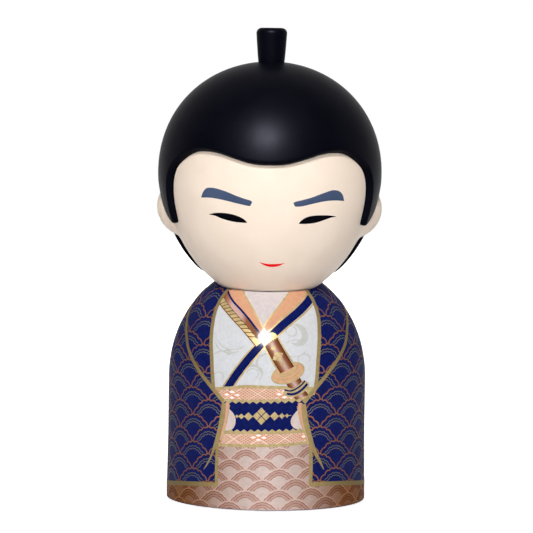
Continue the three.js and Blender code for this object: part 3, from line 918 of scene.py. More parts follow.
def hem_height(u):
    """The coat's hem, level at the front and lower round the sides and the back."""
    drop = HEM_DROP * smooth_step((np.abs(u - PRINT_CENTRE) - 16) / 40)
    return HEM_Z + leaning(u, COAT_LEAN) - drop


def coat_edge(lapel, sleeve_end, mouth, skirt_edge):
    """One front edge of the coat from the neck down to the hem, as (z, u) in rising order."""
    line = np.vstack([lapel, sleeve_end, mouth[mouth[:, 1] > MOUTH_FOOT_Z], skirt_edge])
    order = np.argsort(line[:, 1])
    return line[order, 1], line[order, 0]


LEFT_FRONT = coat_edge(LEFT_LAPEL, [(-15.3, 35.6)], LEFT_MOUTH_BACK + (0.6, 0), LEFT_SKIRT_EDGE)
RIGHT_FRONT = coat_edge(RIGHT_LAPEL, [(13.6, 35.8)], RIGHT_MOUTH_BACK - (0.6, 0), RIGHT_SKIRT_EDGE)


def on_coat(line):
    """Which places of a line lie on the coat: outside its two front edges, above its hem and
    below the dish's rim."""
    u, z = line.T
    outside = (u < np.interp(z, *LEFT_FRONT)) | (u > np.interp(z, *RIGHT_FRONT))
    return outside & (z > hem_height(u)) & (z < rim_height(u / FLAT_RADIUS) - RIM_MARGIN)


def runs(line, kept):
    """The unbroken stretches of a line whose places are kept."""
    breaks = np.flatnonzero(np.diff(kept.astype(int))) + 1
    stretches = np.split(np.arange(len(line)), breaks)
    return [line[s] for s in stretches if kept[s[0]] and len(s) > 2]


def laid(line, kept, width, layer):
    """Ribbons along the stretches of a line whose places are kept."""
    return [ribbon(stretch, width, layer) for stretch in runs(line, kept)]


# Dress: wave scales
# A scale's top is an arch from its left neighbour's tip over its own to its right neighbour's.
# Neighbours stand half a row lower.

SCALLOPS = 7  # humps along each line of a scale
HUMP_BELOW = 0.8  # the share of a hump's height that lies below the plain arch
INNER_SCALLOP = 0.7  # the inner lines' humps, as a share of the outline's
NEIGHBOUR_GAP = 0.15  # inner lines stop this far above the neighbours' outlines

COAT_COLUMN = 12.2 / 180 * np.pi * FLAT_RADIUS
COAT_ROW = 8.48
COAT_FIRST_COLUMN = 33.6 / 180 * np.pi * FLAT_RADIUS
COAT_FIRST_Z = 9.15
COAT_COLUMNS = 25
COAT_SCALLOP = 0.42
COAT_ARCH = 2.2
COPPER_WIDTH = 0.4
OLIVE_WIDTH = 0.25
CLOTH_SPREAD = 0.48  # how much wider the cloth lies at the top of its spread
SPREAD_Z = 32  # where the spread begins
SPREAD_HEIGHT = 28
SAG_FROM = 17  # the cloth sinks by a millimetre over the sag's width, from here round
SAG_WIDTH = 12
COAT_LAYER = 1.5


def arch(x, half_width, height, power):
    """An arch's height at x: it falls as a power of the distance from its middle."""
    return -height * (np.abs(x) / half_width) ** power


def offset(line, distance):
    """A line beside another, at a distance to its left."""
    ahead = np.gradient(line, axis=0)
    length = np.hypot(*ahead.T)[:, None]
    left = np.stack([-ahead[:, 1], ahead[:, 0]], -1)
    return line + np.reshape(distance, (-1, 1)) * left / length


def scale_lines(half_width, height, power, scallop, insets, samples):
    """The lines of one scale about its tip: its outline, and inner lines beside it that stop where
    they meet the neighbours' outlines. Scallops are the humps of a cosine's absolute value."""
    x = np.linspace(-half_width, half_width, samples)
    hump = scallop * (np.abs(np.cos(SCALLOPS / 2 * np.pi * x / half_width)) - HUMP_BELOW)
    bare = np.stack([x, arch(x, half_width, height, power)], -1)
    lines = [offset(bare, hump)]
    for inset in insets:
        line = offset(bare, INNER_SCALLOP * hump - inset)
        neighbour = arch(half_width - np.abs(line[:, 0]), half_width, height, power) - height
        lines.append(line[line[:, 1] > neighbour + NEIGHBOUR_GAP])
    return lines


def on_coat_cloth(line, side):
    """Where a place of the coat's cloth lies, from its distance round from the print's centre. The
    cloth spreads forward over the shoulders, and hangs a little lower at the sides."""
    away, z = line.T
    turn = away / FLAT_RADIUS
    spread = CLOTH_SPREAD * np.clip((z - SPREAD_Z) / SPREAD_HEIGHT, 0, None) ** 1.5
    turn = turn + spread * turn * (1 - turn / np.pi)
    u = PRINT_CENTRE + side * turn * FLAT_RADIUS
    sag = smooth_step((away - SAG_FROM) / SAG_WIDTH)
    return np.stack([u, z - sag + leaning(u, COAT_LEAN)], -1)


def coat_pattern():
    """Wave scales all over the coat, mirrored about the print's centre."""
    insets = [1.5, 2.3]
    shape = (COAT_COLUMN, COAT_ROW / 2, COAT_ARCH, COAT_SCALLOP)
    outline, *inner = scale_lines(*shape, insets, 43)
    copper, olive = [], []
    kinds = [(outline, copper, COPPER_WIDTH)] + [(line, olive, OLIVE_WIDTH) for line in inner]
    for side in (-1, 1):
        for column in range(-3, COAT_COLUMNS // 2 + 1):
            middle = COAT_FIRST_COLUMN + column * COAT_COLUMN
            for row in range(-1, 9):
                tip = (middle, COAT_FIRST_Z + COAT_ROW * (row + column % 2 / 2))
                last = column == COAT_COLUMNS // 2
                for line, parts, width in kinds:
                    here = line[line[:, 0] <= 0] if last else line
                    spots = on_coat_cloth(here + tip, side)
                    parts += laid(spots, on_coat(spots), width, COAT_LAYER)
    piece("coat_scales", copper, COPPER_INK)
    piece("coat_waves", olive, OLIVE_INK)


SKIRT_COLUMNS = 38
SKIRT_COLUMN = 2 * np.pi * FLAT_RADIUS / SKIRT_COLUMNS
SKIRT_ROW = 6.56
SKIRT_FIRST_Z = 3.5
SKIRT_CENTRE = -1.1
SKIRT_FOOT_Z = 0.62
SKIRT_ARCH = 1.95
SKIRT_SCALLOP = 0.22
SKIRT_TOP_Z = 21
CREAM_WIDTH = 0.32
BAND_LINE_WIDTH = 0.46
UMBER_WIDTH = 0.24
SKIRT_FAN_LAYER = 1.9
SKIRT_BAND_LAYER = 2.3
SKIRT_LINE_LAYER = 2.6
FAN_SHARE = 0.62  # a fan's half width, as a share of a column
FAN_ARCH = 0.95  # the height of its top's arch, as a share of its scale's
FAN_DROP = 2.05  # how far its top lies under its scale's tip
FAN_OVERLAP = 0.1  # how far it reaches under its neighbours' outlines
FAN_MIDDLE = 1.5  # from its top down to the height at which the coat cuts it off
LEAST_FAN_WIDTH = 1
LEAST_FAN_HEIGHT = 0.5


def on_skirt(line):
    """Which places of a line lie on the skirt: below the hem all round, and between the coat's
    front edges up to the sash."""
    u, z = line.T
    inside = (u > np.interp(z, *LEFT_FRONT)) & (u < np.interp(z, *RIGHT_FRONT)) & (z < SKIRT_TOP_Z)
    return (inside | (z < hem_height(u))) & (z > SKIRT_FOOT_Z + 0.1)


def skirt_pattern():
    """Wave scales on the skirt: a cream outline, then brown and mauve lines by turns."""
    insets = [0.38, 0.78, 1.18, 1.58, 1.98]
    shape = (SKIRT_COLUMN, SKIRT_ROW / 2, SKIRT_ARCH, SKIRT_SCALLOP)
    outline, *inner = scale_lines(*shape, insets, 29)
    cream, band, umber = [], [], []
    kinds = [(outline, cream, CREAM_WIDTH, SKIRT_LINE_LAYER)]
    kinds += [(line, umber, UMBER_WIDTH, SKIRT_LINE_LAYER) for line in inner[::2]]
    kinds += [(line, band, BAND_LINE_WIDTH, SKIRT_BAND_LAYER) for line in inner[1::2]]
    for tip in skirt_tips():
        for line, parts, width, layer in kinds:
            spots = line + tip
            spots[:, 1] += leaning(spots[:, 0], SKIRT_LEAN)
            parts += laid(spots, on_skirt(spots), width, layer)
    piece("skirt_scales", cream, CREAM_INK)
    piece("skirt_bands", band, BAND_INK)
    piece("skirt_waves", umber, UMBER_INK)


def skirt_tips():
    """The tips of the skirt's scales, in columns that stagger by half a row."""
    columns = range(-SKIRT_COLUMNS // 2, SKIRT_COLUMNS // 2)
    return [
        (SKIRT_CENTRE + column * SKIRT_COLUMN, SKIRT_FIRST_Z + SKIRT_ROW * (row + column % 2 / 2))
        for column in columns
        for row in range(-1, 4)
    ]


def skirt_fans():
    """The pale middle of each scale, below its inmost line and above its neighbours' outlines. A
    fan that crosses the hem, the coat's front edges or the foot is cut off there."""
    x = np.linspace(-FAN_SHARE, FAN_SHARE, 11) * SKIRT_COLUMN
    height = SKIRT_ROW / 2
    over = arch(x, SKIRT_COLUMN, FAN_ARCH * height, SKIRT_ARCH) - FAN_DROP
    under = arch(SKIRT_COLUMN - np.abs(x), SKIRT_COLUMN, height, SKIRT_ARCH) - height
    under -= FAN_OVERLAP
    fans = []
    for u, z in skirt_tips():
        shift = leaning(np.array(u), SKIRT_LEAN) + z
        middle = shift + over[5] - FAN_MIDDLE
        across = x + u
        left, right = np.interp(middle, *LEFT_FRONT), np.interp(middle, *RIGHT_FRONT)
        if middle > hem_height(np.array(u)):
            across = np.clip(across, left, right)
        if np.ptp(across) < LEAST_FAN_WIDTH:
            continue
        tilt = leaning(across, SKIRT_LEAN) - leaning(np.array(u), SKIRT_LEAN)
        front = (across > left - 0.01) & (across < right + 0.01)
        ceiling = np.where(front, SKIRT_TOP_Z, hem_height(across))
        top = np.clip(np.interp(across, x + u, over) + shift + tilt, SKIRT_FOOT_Z + 0.2, ceiling)
        bottom = np.interp(across, x + u, under) + shift + tilt
        bottom = np.clip(bottom, SKIRT_FOOT_Z + 0.1, top - 0.05)
        if np.max(top - bottom) < LEAST_FAN_HEIGHT:
            continue
        rails = bottom + np.linspace(0, 1, 4)[:, None] * (top - bottom)
        rails = np.stack([np.broadcast_to(across, rails.shape), rails], -1)
        fans.append(panel(rails, SKIRT_FAN_LAYER))
    piece("skirt_fans", fans, FAN_INK)


def skirt_ground():
    """The skirt's ground colour: a band below the hem all round, and the front up to the sash. The
    band's rows lie close together where the foot is rounded."""
    turn = np.linspace(-np.pi, np.pi, 181)[:-1]
    u = turn * FLAT_RADIUS
    foot = np.linspace(SKIRT_FOOT_Z, FOOT_Z + FOOT_ROUNDING + 0.1, 6)[:-1, None] + 0 * u
    low = foot[-1] + 0.1
    z = np.concatenate([foot, low + np.linspace(0, 1, 7)[:, None] * (hem_height(u) - low)])
    band = panel(np.stack([np.broadcast_to(u, z.shape), z], -1), 1, closed=True)
    front = between(LEFT_SKIRT_EDGE, RIGHT_SKIRT_EDGE, 1.2)
    piece("skirt_ground", [band, front], ROSE_INK)


def hem_band():
    """The gold band along the coat's hem, from one front edge round the back to the other."""
    u = np.linspace(RIGHT_SKIRT_EDGE[-1, 0], LEFT_SKIRT_EDGE[-1, 0] + 2 * np.pi * FLAT_RADIUS, 300)
    wrapped = (u + np.pi * FLAT_RADIUS) % (2 * np.pi * FLAT_RADIUS) - np.pi * FLAT_RADIUS
    return ribbon(np.stack([u, hem_height(wrapped)], -1), HEM_WIDTH, 6)


def coat_trims():
    """Gold bands along the hem, the lapels, the sleeves and the coat's front edges."""
    parts = [
        hem_band(),
        *(ribbon(s, np.linspace(*SLEEVE_WIDTHS, len(s)), 6) for s in (LEFT_SLEEVE, RIGHT_SLEEVE)),
        *(ribbon(lapel, TRIM_WIDTH, 6.5) for lapel in (LEFT_LAPEL, RIGHT_LAPEL)),
        ribbon(LEFT_SKIRT_EDGE, LEFT_EDGE_WIDTH, 6.2),
        ribbon(RIGHT_SKIRT_EDGE, RIGHT_EDGE_WIDTH, 6.2),
        between(LEFT_MOUTH_BACK, LEFT_MOUTH_FRONT, 6.8),
        between(RIGHT_MOUTH_FRONT, RIGHT_MOUTH_BACK, 6.8),
    ]
    piece("coat_trims", parts, TRIM_INK)


# Dress: chest

V_LEFT = curved(
    (-14.9, 68.9), (-13.5, 68), (-11.9, 66.8), (-8.5, 64.5), (-5.4, 61.8), (-3, 58.9), (-1.7, 57.1),
)
V_RIGHT = curved(
    (13, 68.6), (11.2, 67.7), (7.4, 65.5), (4, 63), (0.9, 60.2), (-0.6, 58.6), (-1.65, 57.05),
)
THIN_NAVY = curved(
    (-22.2, 67.5), (-19.75, 66.3), (-15.7, 64.35), (-11.3, 62.2), (-7.6, 59.8), (-4.4, 57),
    (-2.4, 55.1),
)
ROPE = curved(
    (-22.8, 64.7), (-21.6, 64.2), (-18.2, 62.7), (-15.1, 61.1), (-12.6, 59.65), (-10.4, 58.25),
    (-8.5, 56.9), (-6.7, 55.4), (-4.6, 53.5), (-3, 51.9),
)
ROPE_WIDTH = 1.9
STRAND_LENGTH = 6  # in steps of the rope's line
STRAND_PITCH = 3
STRAND_WIDTH = 0.3
BAND_RIGHT = curved(
    (21.6, 65.9), (12.75, 61.85), (5.6, 57.95), (0.5, 54.1),
)
BAND_LEFT = curved(
    (-0.9, 53.3), (-3.5, 50.5), (-6.15, 47.4), (-8.6, 44.2), (-10.7, 41.2), (-12.4, 38.6),
    (-12.9, 37.8),
)
BAND_WIDTH = 2.6
BAND_LEFT_WIDTH = 2.5
GOLD_LINE = 0.5
THIN_NAVY_WIDTH = 0.62
EDGE_OVERLAP = 0.02  # a band's gold line reaches this far over it
ROBE_TOP_Z = 66
SWIRL_STEPS = 40
SWIRL_TIP = 0.15  # a crescent's width at its ends
SWIRL_HEIGHT = 0.8  # a swirl's height, as a share of its width
SASH_TOP = curved((-17, 37.8), (-11.3, 38.4), (-8, 38.9), (0, 38.95), (10, 38.7), (15.6, 38.4))


def chest_white():
    """The white under-robe, from lapel to lapel, down to the sash."""
    sides = [lapel[lapel[:, 1] < ROBE_TOP_Z] for lapel in (LEFT_LAPEL, RIGHT_LAPEL)]
    piece("robe_white", between(*sides, 1), PEARL_WHITE)


def swirl(centre, radius, start, end, turns_in):
    """An arc about a centre, its ends in degrees. Its radius falls by the share turns_in."""
    angle = np.radians(np.linspace(start, end, SWIRL_STEPS))
    reach = radius * (1 - turns_in * np.linspace(0, 1, SWIRL_STEPS))
    way = np.stack([np.cos(angle), SWIRL_HEIGHT * np.sin(angle)], -1)
    return centre + reach[:, None] * way


def robe_swirls():
    """Faint grey water swirls on the white robe: broad crescents that thin out, and fine arcs."""
    crescents = [
        ((9.6, 54.9), 3.9, 100, -120, 0.12, 2.1),
        ((-4.6, 43), 3.3, 190, -50, 0.1, 0.7),
        ((0.4, 46.4), 3.9, 250, 60, 0.1, 0.6),
        ((-13.1, 49.2), 1.2, 180, -150, 0.5, 0.6),
    ]
    arcs = [
        ((8.4, 56), 2, 200, -140, 0.1, 0.35),
        ((8.6, 52.6), 5.4, 215, 330, 0, 0.3),
        ((9.4, 49.2), 5.2, 130, 40, 0, 0.3),
        ((12.6, 47.4), 2.8, 200, -30, 0.5, 0.35),
        ((-14.2, 45.2), 5.6, 140, 60, 0, 0.35),
        ((-12.6, 54.2), 6.4, 205, 300, 0, 0.35),
        ((-11.8, 55.6), 6.8, 210, 305, 0, 0.3),
        ((-4.4, 43), 2.1, 180, -60, 0.2, 0.35),
        ((-15.4, 41.6), 2.2, 190, -20, 0.4, 0.35),
    ]
    swell = np.sin(np.linspace(0, np.pi, SWIRL_STEPS))
    parts = [ribbon(swirl(*arc), SWIRL_TIP + width * swell, 2) for *arc, width in crescents]
    parts += [ribbon(swirl(*arc), width, 2) for *arc, width in arcs]
    piece("robe_swirls", parts, SWIRL_GREY)


def collar():
    """The pale throat in the V, peach collars on both sides, and the gold lines at the V."""
    throat = between(V_LEFT, V_RIGHT, 3)
    piece("throat", throat, COLLAR_PEARL)
    left = between(THIN_NAVY, V_LEFT, 2.4)
    upper = np.vstack([straight((20.6, 68.8), (13.5, 68.7)), V_RIGHT[:-1]])
    right = between(upper, offset(BAND_RIGHT, -0.9), 2.4)
    foot_left = straight((-2.6, 55.6), (-1.5, 57.4))
    foot = between(foot_left, straight((0.4, 54.4), (1.6, 56.4)), 2.4)
    piece("peach_collar", [left, right, foot], PEACH_INK)
    lines = [ribbon(side, GOLD_LINE, 4) for side in (V_LEFT, V_RIGHT)]
    piece("collar_lines", lines, GOLD_INK)


def crossing_bands():
    """The navy band that crosses the chest, edged with gold, and the thin navy line."""
    navy = [
        ribbon(BAND_RIGHT, BAND_WIDTH, 3),
        ribbon(BAND_LEFT, BAND_LEFT_WIDTH, 2.8),
        ribbon(THIN_NAVY, THIN_NAVY_WIDTH, 4),
    ]
    piece("navy_bands", navy, NAVY_LACQUER)
    edge = (BAND_WIDTH + GOLD_LINE) / 2 - EDGE_OVERLAP
    left_edge = (BAND_LEFT_WIDTH + GOLD_LINE) / 2 - EDGE_OVERLAP
    gold = [ribbon(offset(BAND_RIGHT, side * edge), GOLD_LINE, 3.5) for side in (-1, 1)]
    gold += [ribbon(offset(BAND_LEFT, side * left_edge), GOLD_LINE, 3.3) for side in (-1, 1)]
    piece("band_lines", gold, GOLD_INK)


def rope():
    """The twisted gold cord over the left collar, with a mauve band behind it. Brown lines across
    it lean back from its own direction, one for each strand."""
    upper = offset(ROPE, ROPE_WIDTH / 2)
    count = 40
    shares = np.linspace(0, 1, 4)[:, None, None]
    low, high = even(upper, count), even(THIN_NAVY, count)
    crossings = (low + shares * (high - low)).transpose(1, 0, 2)
    piece("mauve_band", panel(crossings, 2.2), MAUVE_INK)
    piece("rope_gold", ribbon(ROPE, ROPE_WIDTH, 4.4), GOLD_INK)
    brown = [ribbon(offset(ROPE, -ROPE_WIDTH / 2), 0.3, 4.8)]
    brown.append(ribbon(upper, 0.16, 4.8))
    for start in range(1, len(ROPE) - STRAND_LENGTH, STRAND_PITCH):
        lean = np.sin(np.linspace(-np.pi / 2, np.pi / 2, STRAND_LENGTH)) * ROPE_WIDTH / 2
        strand = offset(ROPE[start : start + STRAND_LENGTH], lean)
        brown.append(ribbon(strand, STRAND_WIDTH, 5))
    piece("rope_lines", brown, BROWN_INK)


# Dress: sash

SASH_LEAN = 0.03  # its bands climb this much for each millimetre to the right
ZIGZAG_STEP = 1.05
UPPER_BAND = (35.1, 38.6)  # the lowest and the highest place of each lattice
LOWER_BAND = (21.1, 24.5)
LATTICE_RISE = 0.62
LATTICE_WIDTH = 0.2
FINE_PITCH = 1.3
BOLD_PITCH = 8
FLOWER = (0.95, 0.48)  # half a petal's width and height
HALO = (1.45, 0.8)


def sash_band(left, right, low, high, layer):
    """A band across the front with straight, leaning edges."""
    edges = [
        straight((left, z + SASH_LEAN * left), (right, z + SASH_LEAN * right)) for z in (low, high)
    ]
    return between(*edges, layer)


def zigzag(left, right, straight_z, tooth_z, tooth, layer):
    """A gold strip with one straight edge and one of even teeth."""
    count = int((right - left) / ZIGZAG_STEP) // 2 * 2 + 1
    u = np.linspace(left, right, count)
    lean = SASH_LEAN * u
    plain = np.stack([u, straight_z + lean], -1)
    teeth = np.stack([u, tooth_z + lean + tooth * (np.arange(count) % 2)], -1)
    return panel([plain, teeth], layer)


def lattice(left, right, band, pitch, layer):
    """Slanting lines both ways across a band, each cut at the band's edges."""
    low, high = band
    reach = (high - low) / LATTICE_RISE
    parts = []
    for foot in np.arange(left - reach, right, pitch):
        for slope in (1, -1):
            start = foot if slope > 0 else foot + reach
            line = straight((start, low), (start + slope * reach, high))
            line[:, 1] += SASH_LEAN * line[:, 0]
            kept = (line[:, 0] > left) & (line[:, 0] < right)
            parts += laid(line, kept, LATTICE_WIDTH, layer)
    return parts


def sash():
    """The sash: a navy field with gold diamonds, toothed gold strips, and a salmon lattice band
    above and below it, edged with gold."""
    upper = between(
        straight((-13.4, 34.3), (0, 34.8), (12.4, 35.2)),
        straight((-16.4, 37.3), (-12, 38.6), (0, 39), (14.4, 38.6)),
        3,
    )
    bands = [upper, sash_band(-14.9, 13.4, 20.9, 24.7, 3)]
    piece("sash_salmon", bands, SALMON_INK)

    fine = lattice(-15.6, 13.4, UPPER_BAND, FINE_PITCH, 3.6)
    fine += lattice(-14.7, 13.2, LOWER_BAND, FINE_PITCH, 3.6)
    piece("sash_fine_lines", fine, SALMON_PALE)
    bold = lattice(-16, 13.4, UPPER_BAND, BOLD_PITCH, 4)
    bold += lattice(-15.5, 13.2, LOWER_BAND, BOLD_PITCH, 4)
    piece("sash_bold_lines", bold, SALMON_LINE)

    flowers, halos = [], []
    spots = (((-11, 36.25), (1.75, 0.92)), ((5.5, 36.8), (1.75, 0.92)), ((-2.4, 23.2), (1.7, 0.7)))
    for centre, reach in spots:
        halos += four_diamonds(centre, *HALO, reach, 4.3)
        flowers += four_diamonds(centre, *FLOWER, reach, 4.6)
    halos.append(diamond((11.6, 23.4), *HALO, 4.3))
    flowers.append(diamond((11.9, 23.5), *FLOWER, 4.6))
    piece("sash_halos", halos, ORANGE_INK)
    piece("sash_flowers", flowers, FLOWER_WHITE)

    gold = [
        ribbon(SASH_TOP, 0.95, 5),
        ribbon(straight((12.6, 37.6), (15.6, 37.2)), 1.8, 5),
        zigzag(-14.2, 12.4, 35.15, 33.8, 0.75, 5),
        zigzag(-13.6, 12.8, 24.3, 25.85, -0.75, 5),
        ribbon(curved((-15.6, 20.35), (-4, 20.6), (5, 20.95), (14.4, 21.7)), 0.9, 5),
    ]
    for x, half_width, half_height in (
        (-9.35, 0.55, 0.55),
        (-7.9, 0.95, 0.85),
        (-5.65, 1.35, 1.3),
        (2.5, 1.35, 1.35),
        (4.8, 0.9, 0.9),
        (6.4, 0.55, 0.65),
    ):
        gold.append(diamond((x, 29.9 + SASH_LEAN * x), half_width, half_height, 4))
    gold += four_diamonds((-1.6, 29.9), 1.24, 1.24, (1.42, 1.42), 4)
    for ends in (((-9.8, 29.5), (-2.8, 29.8)), ((-0.2, 29.9), (7.8, 30.2))):
        gold.append(ribbon(straight(*ends), 0.2, 3.4))
    piece("sash_gold", gold, GOLD_INK)


def sleeves():
    """Inside the sleeves' mouths: a peach lining with a thin gold line, and the hands."""
    lining = [
        between(
            curved((-13.1, 33.8), (-13.3, 31.5), (-13.6, 29), (-14.2, 26), (-15, 22)),
            curved((-11.9, 33.7), (-12, 31.5), (-12.4, 29), (-13.05, 26), (-14.6, 21.6)),
            4,
        ),
        between(
            curved((9.9, 34), (9.8, 31.5), (10.5, 29), (11.5, 26.2), (13.3, 21.9)),
            curved((11.3, 34), (11.4, 31.2), (11.9, 28.4), (12.8, 25.9), (13.8, 22)),
            4,
        ),
    ]
    piece("sleeve_lining", lining, LINING_INK)
    left = curved((-11.8, 33), (-12.05, 31.5), (-12.4, 29), (-13.05, 26), (-14, 23), (-14.7, 21.4))
    right = curved((9.65, 33), (9.95, 31.5), (10.5, 29), (11.5, 26.2), (12.8, 23.1), (13.4, 21.7))
    lines = [ribbon(line, 0.3, 4.6) for line in (left, right)]
    piece("lining_lines", lines, GOLD_INK)
    left = between(
        curved((-11.9, 31.7), (-12.3, 30.4), (-12.9, 28.2), (-13.5, 25.6), (-13.7, 24.9)),
        curved(
            (-11.7, 31.6), (-10.7, 30.7), (-9.85, 29.2), (-9.75, 27.6), (-10.4, 25.9), (-11.5, 25)
        ),
        3.4,
        0.7,
    )
    right = between(
        curved((9.6, 31.6), (8.7, 30.6), (7.7, 29), (7.75, 27.4), (8.9, 26.1), (10.3, 25.6)),
        curved((9.9, 31.7), (10.3, 30.8), (10.9, 28.3), (11.6, 26.1), (11.8, 25.5)),
        3.4,
        0.7,
    )
    piece("hands", [left, right], HAND_INK)


# Dress: sword
# It lies along its own axis: s runs from the top of the grip towards the scabbard, and t across.

SWORD_START = np.array((1.26, 52.7))
SWORD_ALONG = np.array((0.517, -0.856))
SWORD_ACROSS = np.array((0.856, 0.517))
GUARD_CENTRE = np.array((6.65, 43.3))
GUARD_TILT = 20


def on_sword(*spots):
    """Flat places from places (s, t) of the sword."""
    spots = np.array(spots, float)
    return SWORD_START + spots[:, :1] * SWORD_ALONG + spots[:, 1:] * SWORD_ACROSS


def sword():
    """The sword through the sash: pommel, grip with diamonds, oval guard and scabbard."""
    grip = between(
        curved(*on_sword((0, -2.45), (3, -2.5), (6, -2.5), (9.6, -2.4))),
        curved(*on_sword((0, 2.4), (3, 2.4), (6, 2.4), (10.1, 2.4))),
        8.6,
        FINE_CELL,
    )
    throat = between(
        straight(*on_sword((11.5, -2.5), (15.5, -2.5))),
        straight(*on_sword((11.5, 2.2), (16, 2.2))),
        6.9,
        FINE_CELL,
    )
    scabbard = between(
        straight((7.9, 36.3), (9.2, 35)),
        straight((12.1, 38.1), (13.3, 36.4)),
        6.4,
        FINE_CELL,
    )
    piece("sword_brown", [grip, throat, scabbard], SWORD_BROWN)

    sides = [on_sword((-0.2, side * 2.65), (5, side * 2.7), (10, side * 2.8)) for side in (-1, 1)]
    edges = [ribbon(curved(*side), 0.42, 7.2) for side in sides]
    pommel = between(
        curved(*on_sword((0.3, -2.7), (-1.5, -2.6), (-2.6, -1.4), (-2.8, 0))),
        curved(*on_sword((0.3, 2.7), (-1.5, 2.6), (-2.6, 1.4), (-2.8, 0.1))),
        8,
        FINE_CELL,
    )
    guard = oval(GUARD_CENTRE, 5.65, 3.05, GUARD_TILT, 7.2)
    collar_line = curved(
        (5.5, 38.1), (6.4, 37.5), (8.2, 37.3), (10.2, 38.1), (11.9, 39.5), (12.5, 40.7)
    )
    collar_band = ribbon(collar_line, [1.6] + [2.9] * (len(collar_line) - 2) + [1.6], 7.6)
    gold = edges + [pommel, guard, collar_band]
    axes = np.array([SWORD_ACROSS, SWORD_ALONG])
    gold += four_diamonds(np.array((3.35, 48.4)), 0.92, 0.8, (1.06, 0.94), 9, axes)
    for centre, size in (((1.9, 51.0), 0.9), ((4.85, 46.3), 0.82), ((5.75, 44.9), 0.45)):
        gold.append(diamond(centre, size, size, 9, axes))
    piece("sword_gold", gold, GOLD_INK)

    rim = oval(GUARD_CENTRE, 5.1, 2.5, GUARD_TILT, 7.6)
    piece("guard_peach", rim, PEACH_INK)

    def guard_arc(half_length, half_width, lift, start, end):
        turn = np.radians(np.linspace(start, end, 30))
        arc = np.stack([half_length * np.cos(turn), half_width * np.sin(turn) + lift], -1)
        return GUARD_CENTRE + arc @ tilted(GUARD_TILT)

    outer = curved((2.7, 43.1), (3.8, 42.4), (5.5, 42.3), (7.6, 43.1), (9.4, 44.7), (9.6, 45.9))
    inner = curved((3, 43.8), (3.9, 43.15), (5.4, 43.05), (7.2, 43.85), (8.7, 45.2), (8.8, 46))
    lines = [
        ribbon(guard_arc(4.4, 2.0, 0.35, 190, 345), 0.36, 8),
        ribbon(outer, 0.45, 8),
        ribbon(inner, 0.5, 8.2),
    ]
    piece("guard_lines", lines, GOLD_INK)

    upper = curved((5.45, 38.15), (7.4, 37.8), (9.6, 38.7), (11.3, 40), (12.1, 40.9))
    lower = curved((6.2, 36.95), (8, 36.75), (10.1, 37.5), (11.9, 38.9), (12.8, 39.9))
    rings = [ribbon(upper, 0.5, 8.4), ribbon(lower, 0.74, 8.4)]
    piece("scabbard_rings", rings, NAVY_LACQUER)
    notches = [
        ribbon(straight(*on_sword((-0.25, t), (0.1, t + 0.5)), step=0.2), 0.3, 8.6)
        for t in (-2, -1.2, -0.4, 0.4, 1.2, 2)
    ]
    piece("pommel_notches", notches, BROWN_INK)


skirt_ground()
skirt_fans()
skirt_pattern()
coat_pattern()
coat_trims()
chest_white()
robe_swirls()
collar()
crossing_bands()
rope()
sash()
sleeves()
sword()


# Face
# Each feature lies between a lower and an upper line.

BROWS = [
    (
        [(-23.3, 97.3), (-20, 97.4), (-15, 96.85), (-10, 95.85), (-7.6, 95.4), (-6.3, 95.2),
         (-6.05, 95.25)],
        [(-23.28, 97.36), (-22.3, 99.1), (-20.9, 100.3), (-19.2, 100.5), (-15, 99.8), (-10, 98.1),
         (-7.6, 97.35), (-5.7, 96.75), (-5.4, 96.5)],
    ),
    (
        [(8.1, 95.25), (8.5, 95.2), (10, 95.25), (13, 95.85), (18.2, 96.8), (22, 97),
         (26.1, 96.75)],
        [(7.5, 96.3), (7.9, 96.55), (10, 97.1), (13, 97.85), (17.5, 99.3), (21.5, 100.2),
         (23.6, 99.8), (25, 98.8), (26.08, 96.8)],
    ),
]
EYES = [
    (
        [(-20.9, 92.15), (-18.6, 91.85), (-16.4, 91.1), (-13.9, 90.5), (-11.4, 90.1), (-9.2, 90),
         (-8, 89.95), (-7.4, 90)],
        [(-20.9, 92.2), (-18.8, 92.62), (-14.3, 92.75), (-10.7, 92.1), (-8.4, 91.1),
         (-7.35, 90.15)],
    ),
    (
        [(9.9, 89.85), (10.6, 89.8), (12.5, 89.8), (15, 90), (17.1, 90.4), (19.3, 91.05),
         (21.4, 91.6), (23.7, 91.93)],
        [(9.88, 89.95), (10.4, 90.65), (11.4, 91.4), (13.2, 92.1), (15.4, 92.38), (18.2, 92.42),
         (21.1, 92.3), (23.7, 91.98)],
    ),
]
MOUTH = [
    (
        [(-3.9, 77.5), (-2.1, 76.65), (-0.36, 76.2), (1.8, 76.05), (3.9, 76.3), (6.8, 77.25)],
        [(-3.88, 77.53), (-1.4, 77.1), (0, 76.95), (2.1, 76.95), (4.3, 77.05), (6.78, 77.28)],
    ),
]
FACE_LAYER = 2


def face():
    """Brows, eyes and mouth, painted on the head."""
    for name, features, paint, cell in (
        ("brows", BROWS, BROW_PAINT, FINE_CELL),
        ("eyes", EYES, EYE_PAINT, FINE_CELL),
        ("mouth", MOUTH, LIP_PAINT, 0.5),
    ):
        parts = [
            between(curved(*low), curved(*high), FACE_LAYER, cell, HEAD_FORM)
            for low, high in features
        ]
        piece(name, parts, paint, "head")


face()


# Camera, light and floor

LAMP_AIM = 0.075  # the lamps look at this height
AMBIENT = 0.2  # the surround's light on the figurine
FLOOR_GLOW = 0.85  # how white the floor shows by itself
FLOOR_REACH = 3  # half its side, in metres
WHITE = (1, 1, 1, 1)

CAMERA_DISTANCE = 1000
CAMERA_HEIGHT = 142.3
CAMERA_ASIDE = -0.65
CAMERA_PITCH = 3.894
CAMERA_ROLL = 0.8
LENS = 212.6


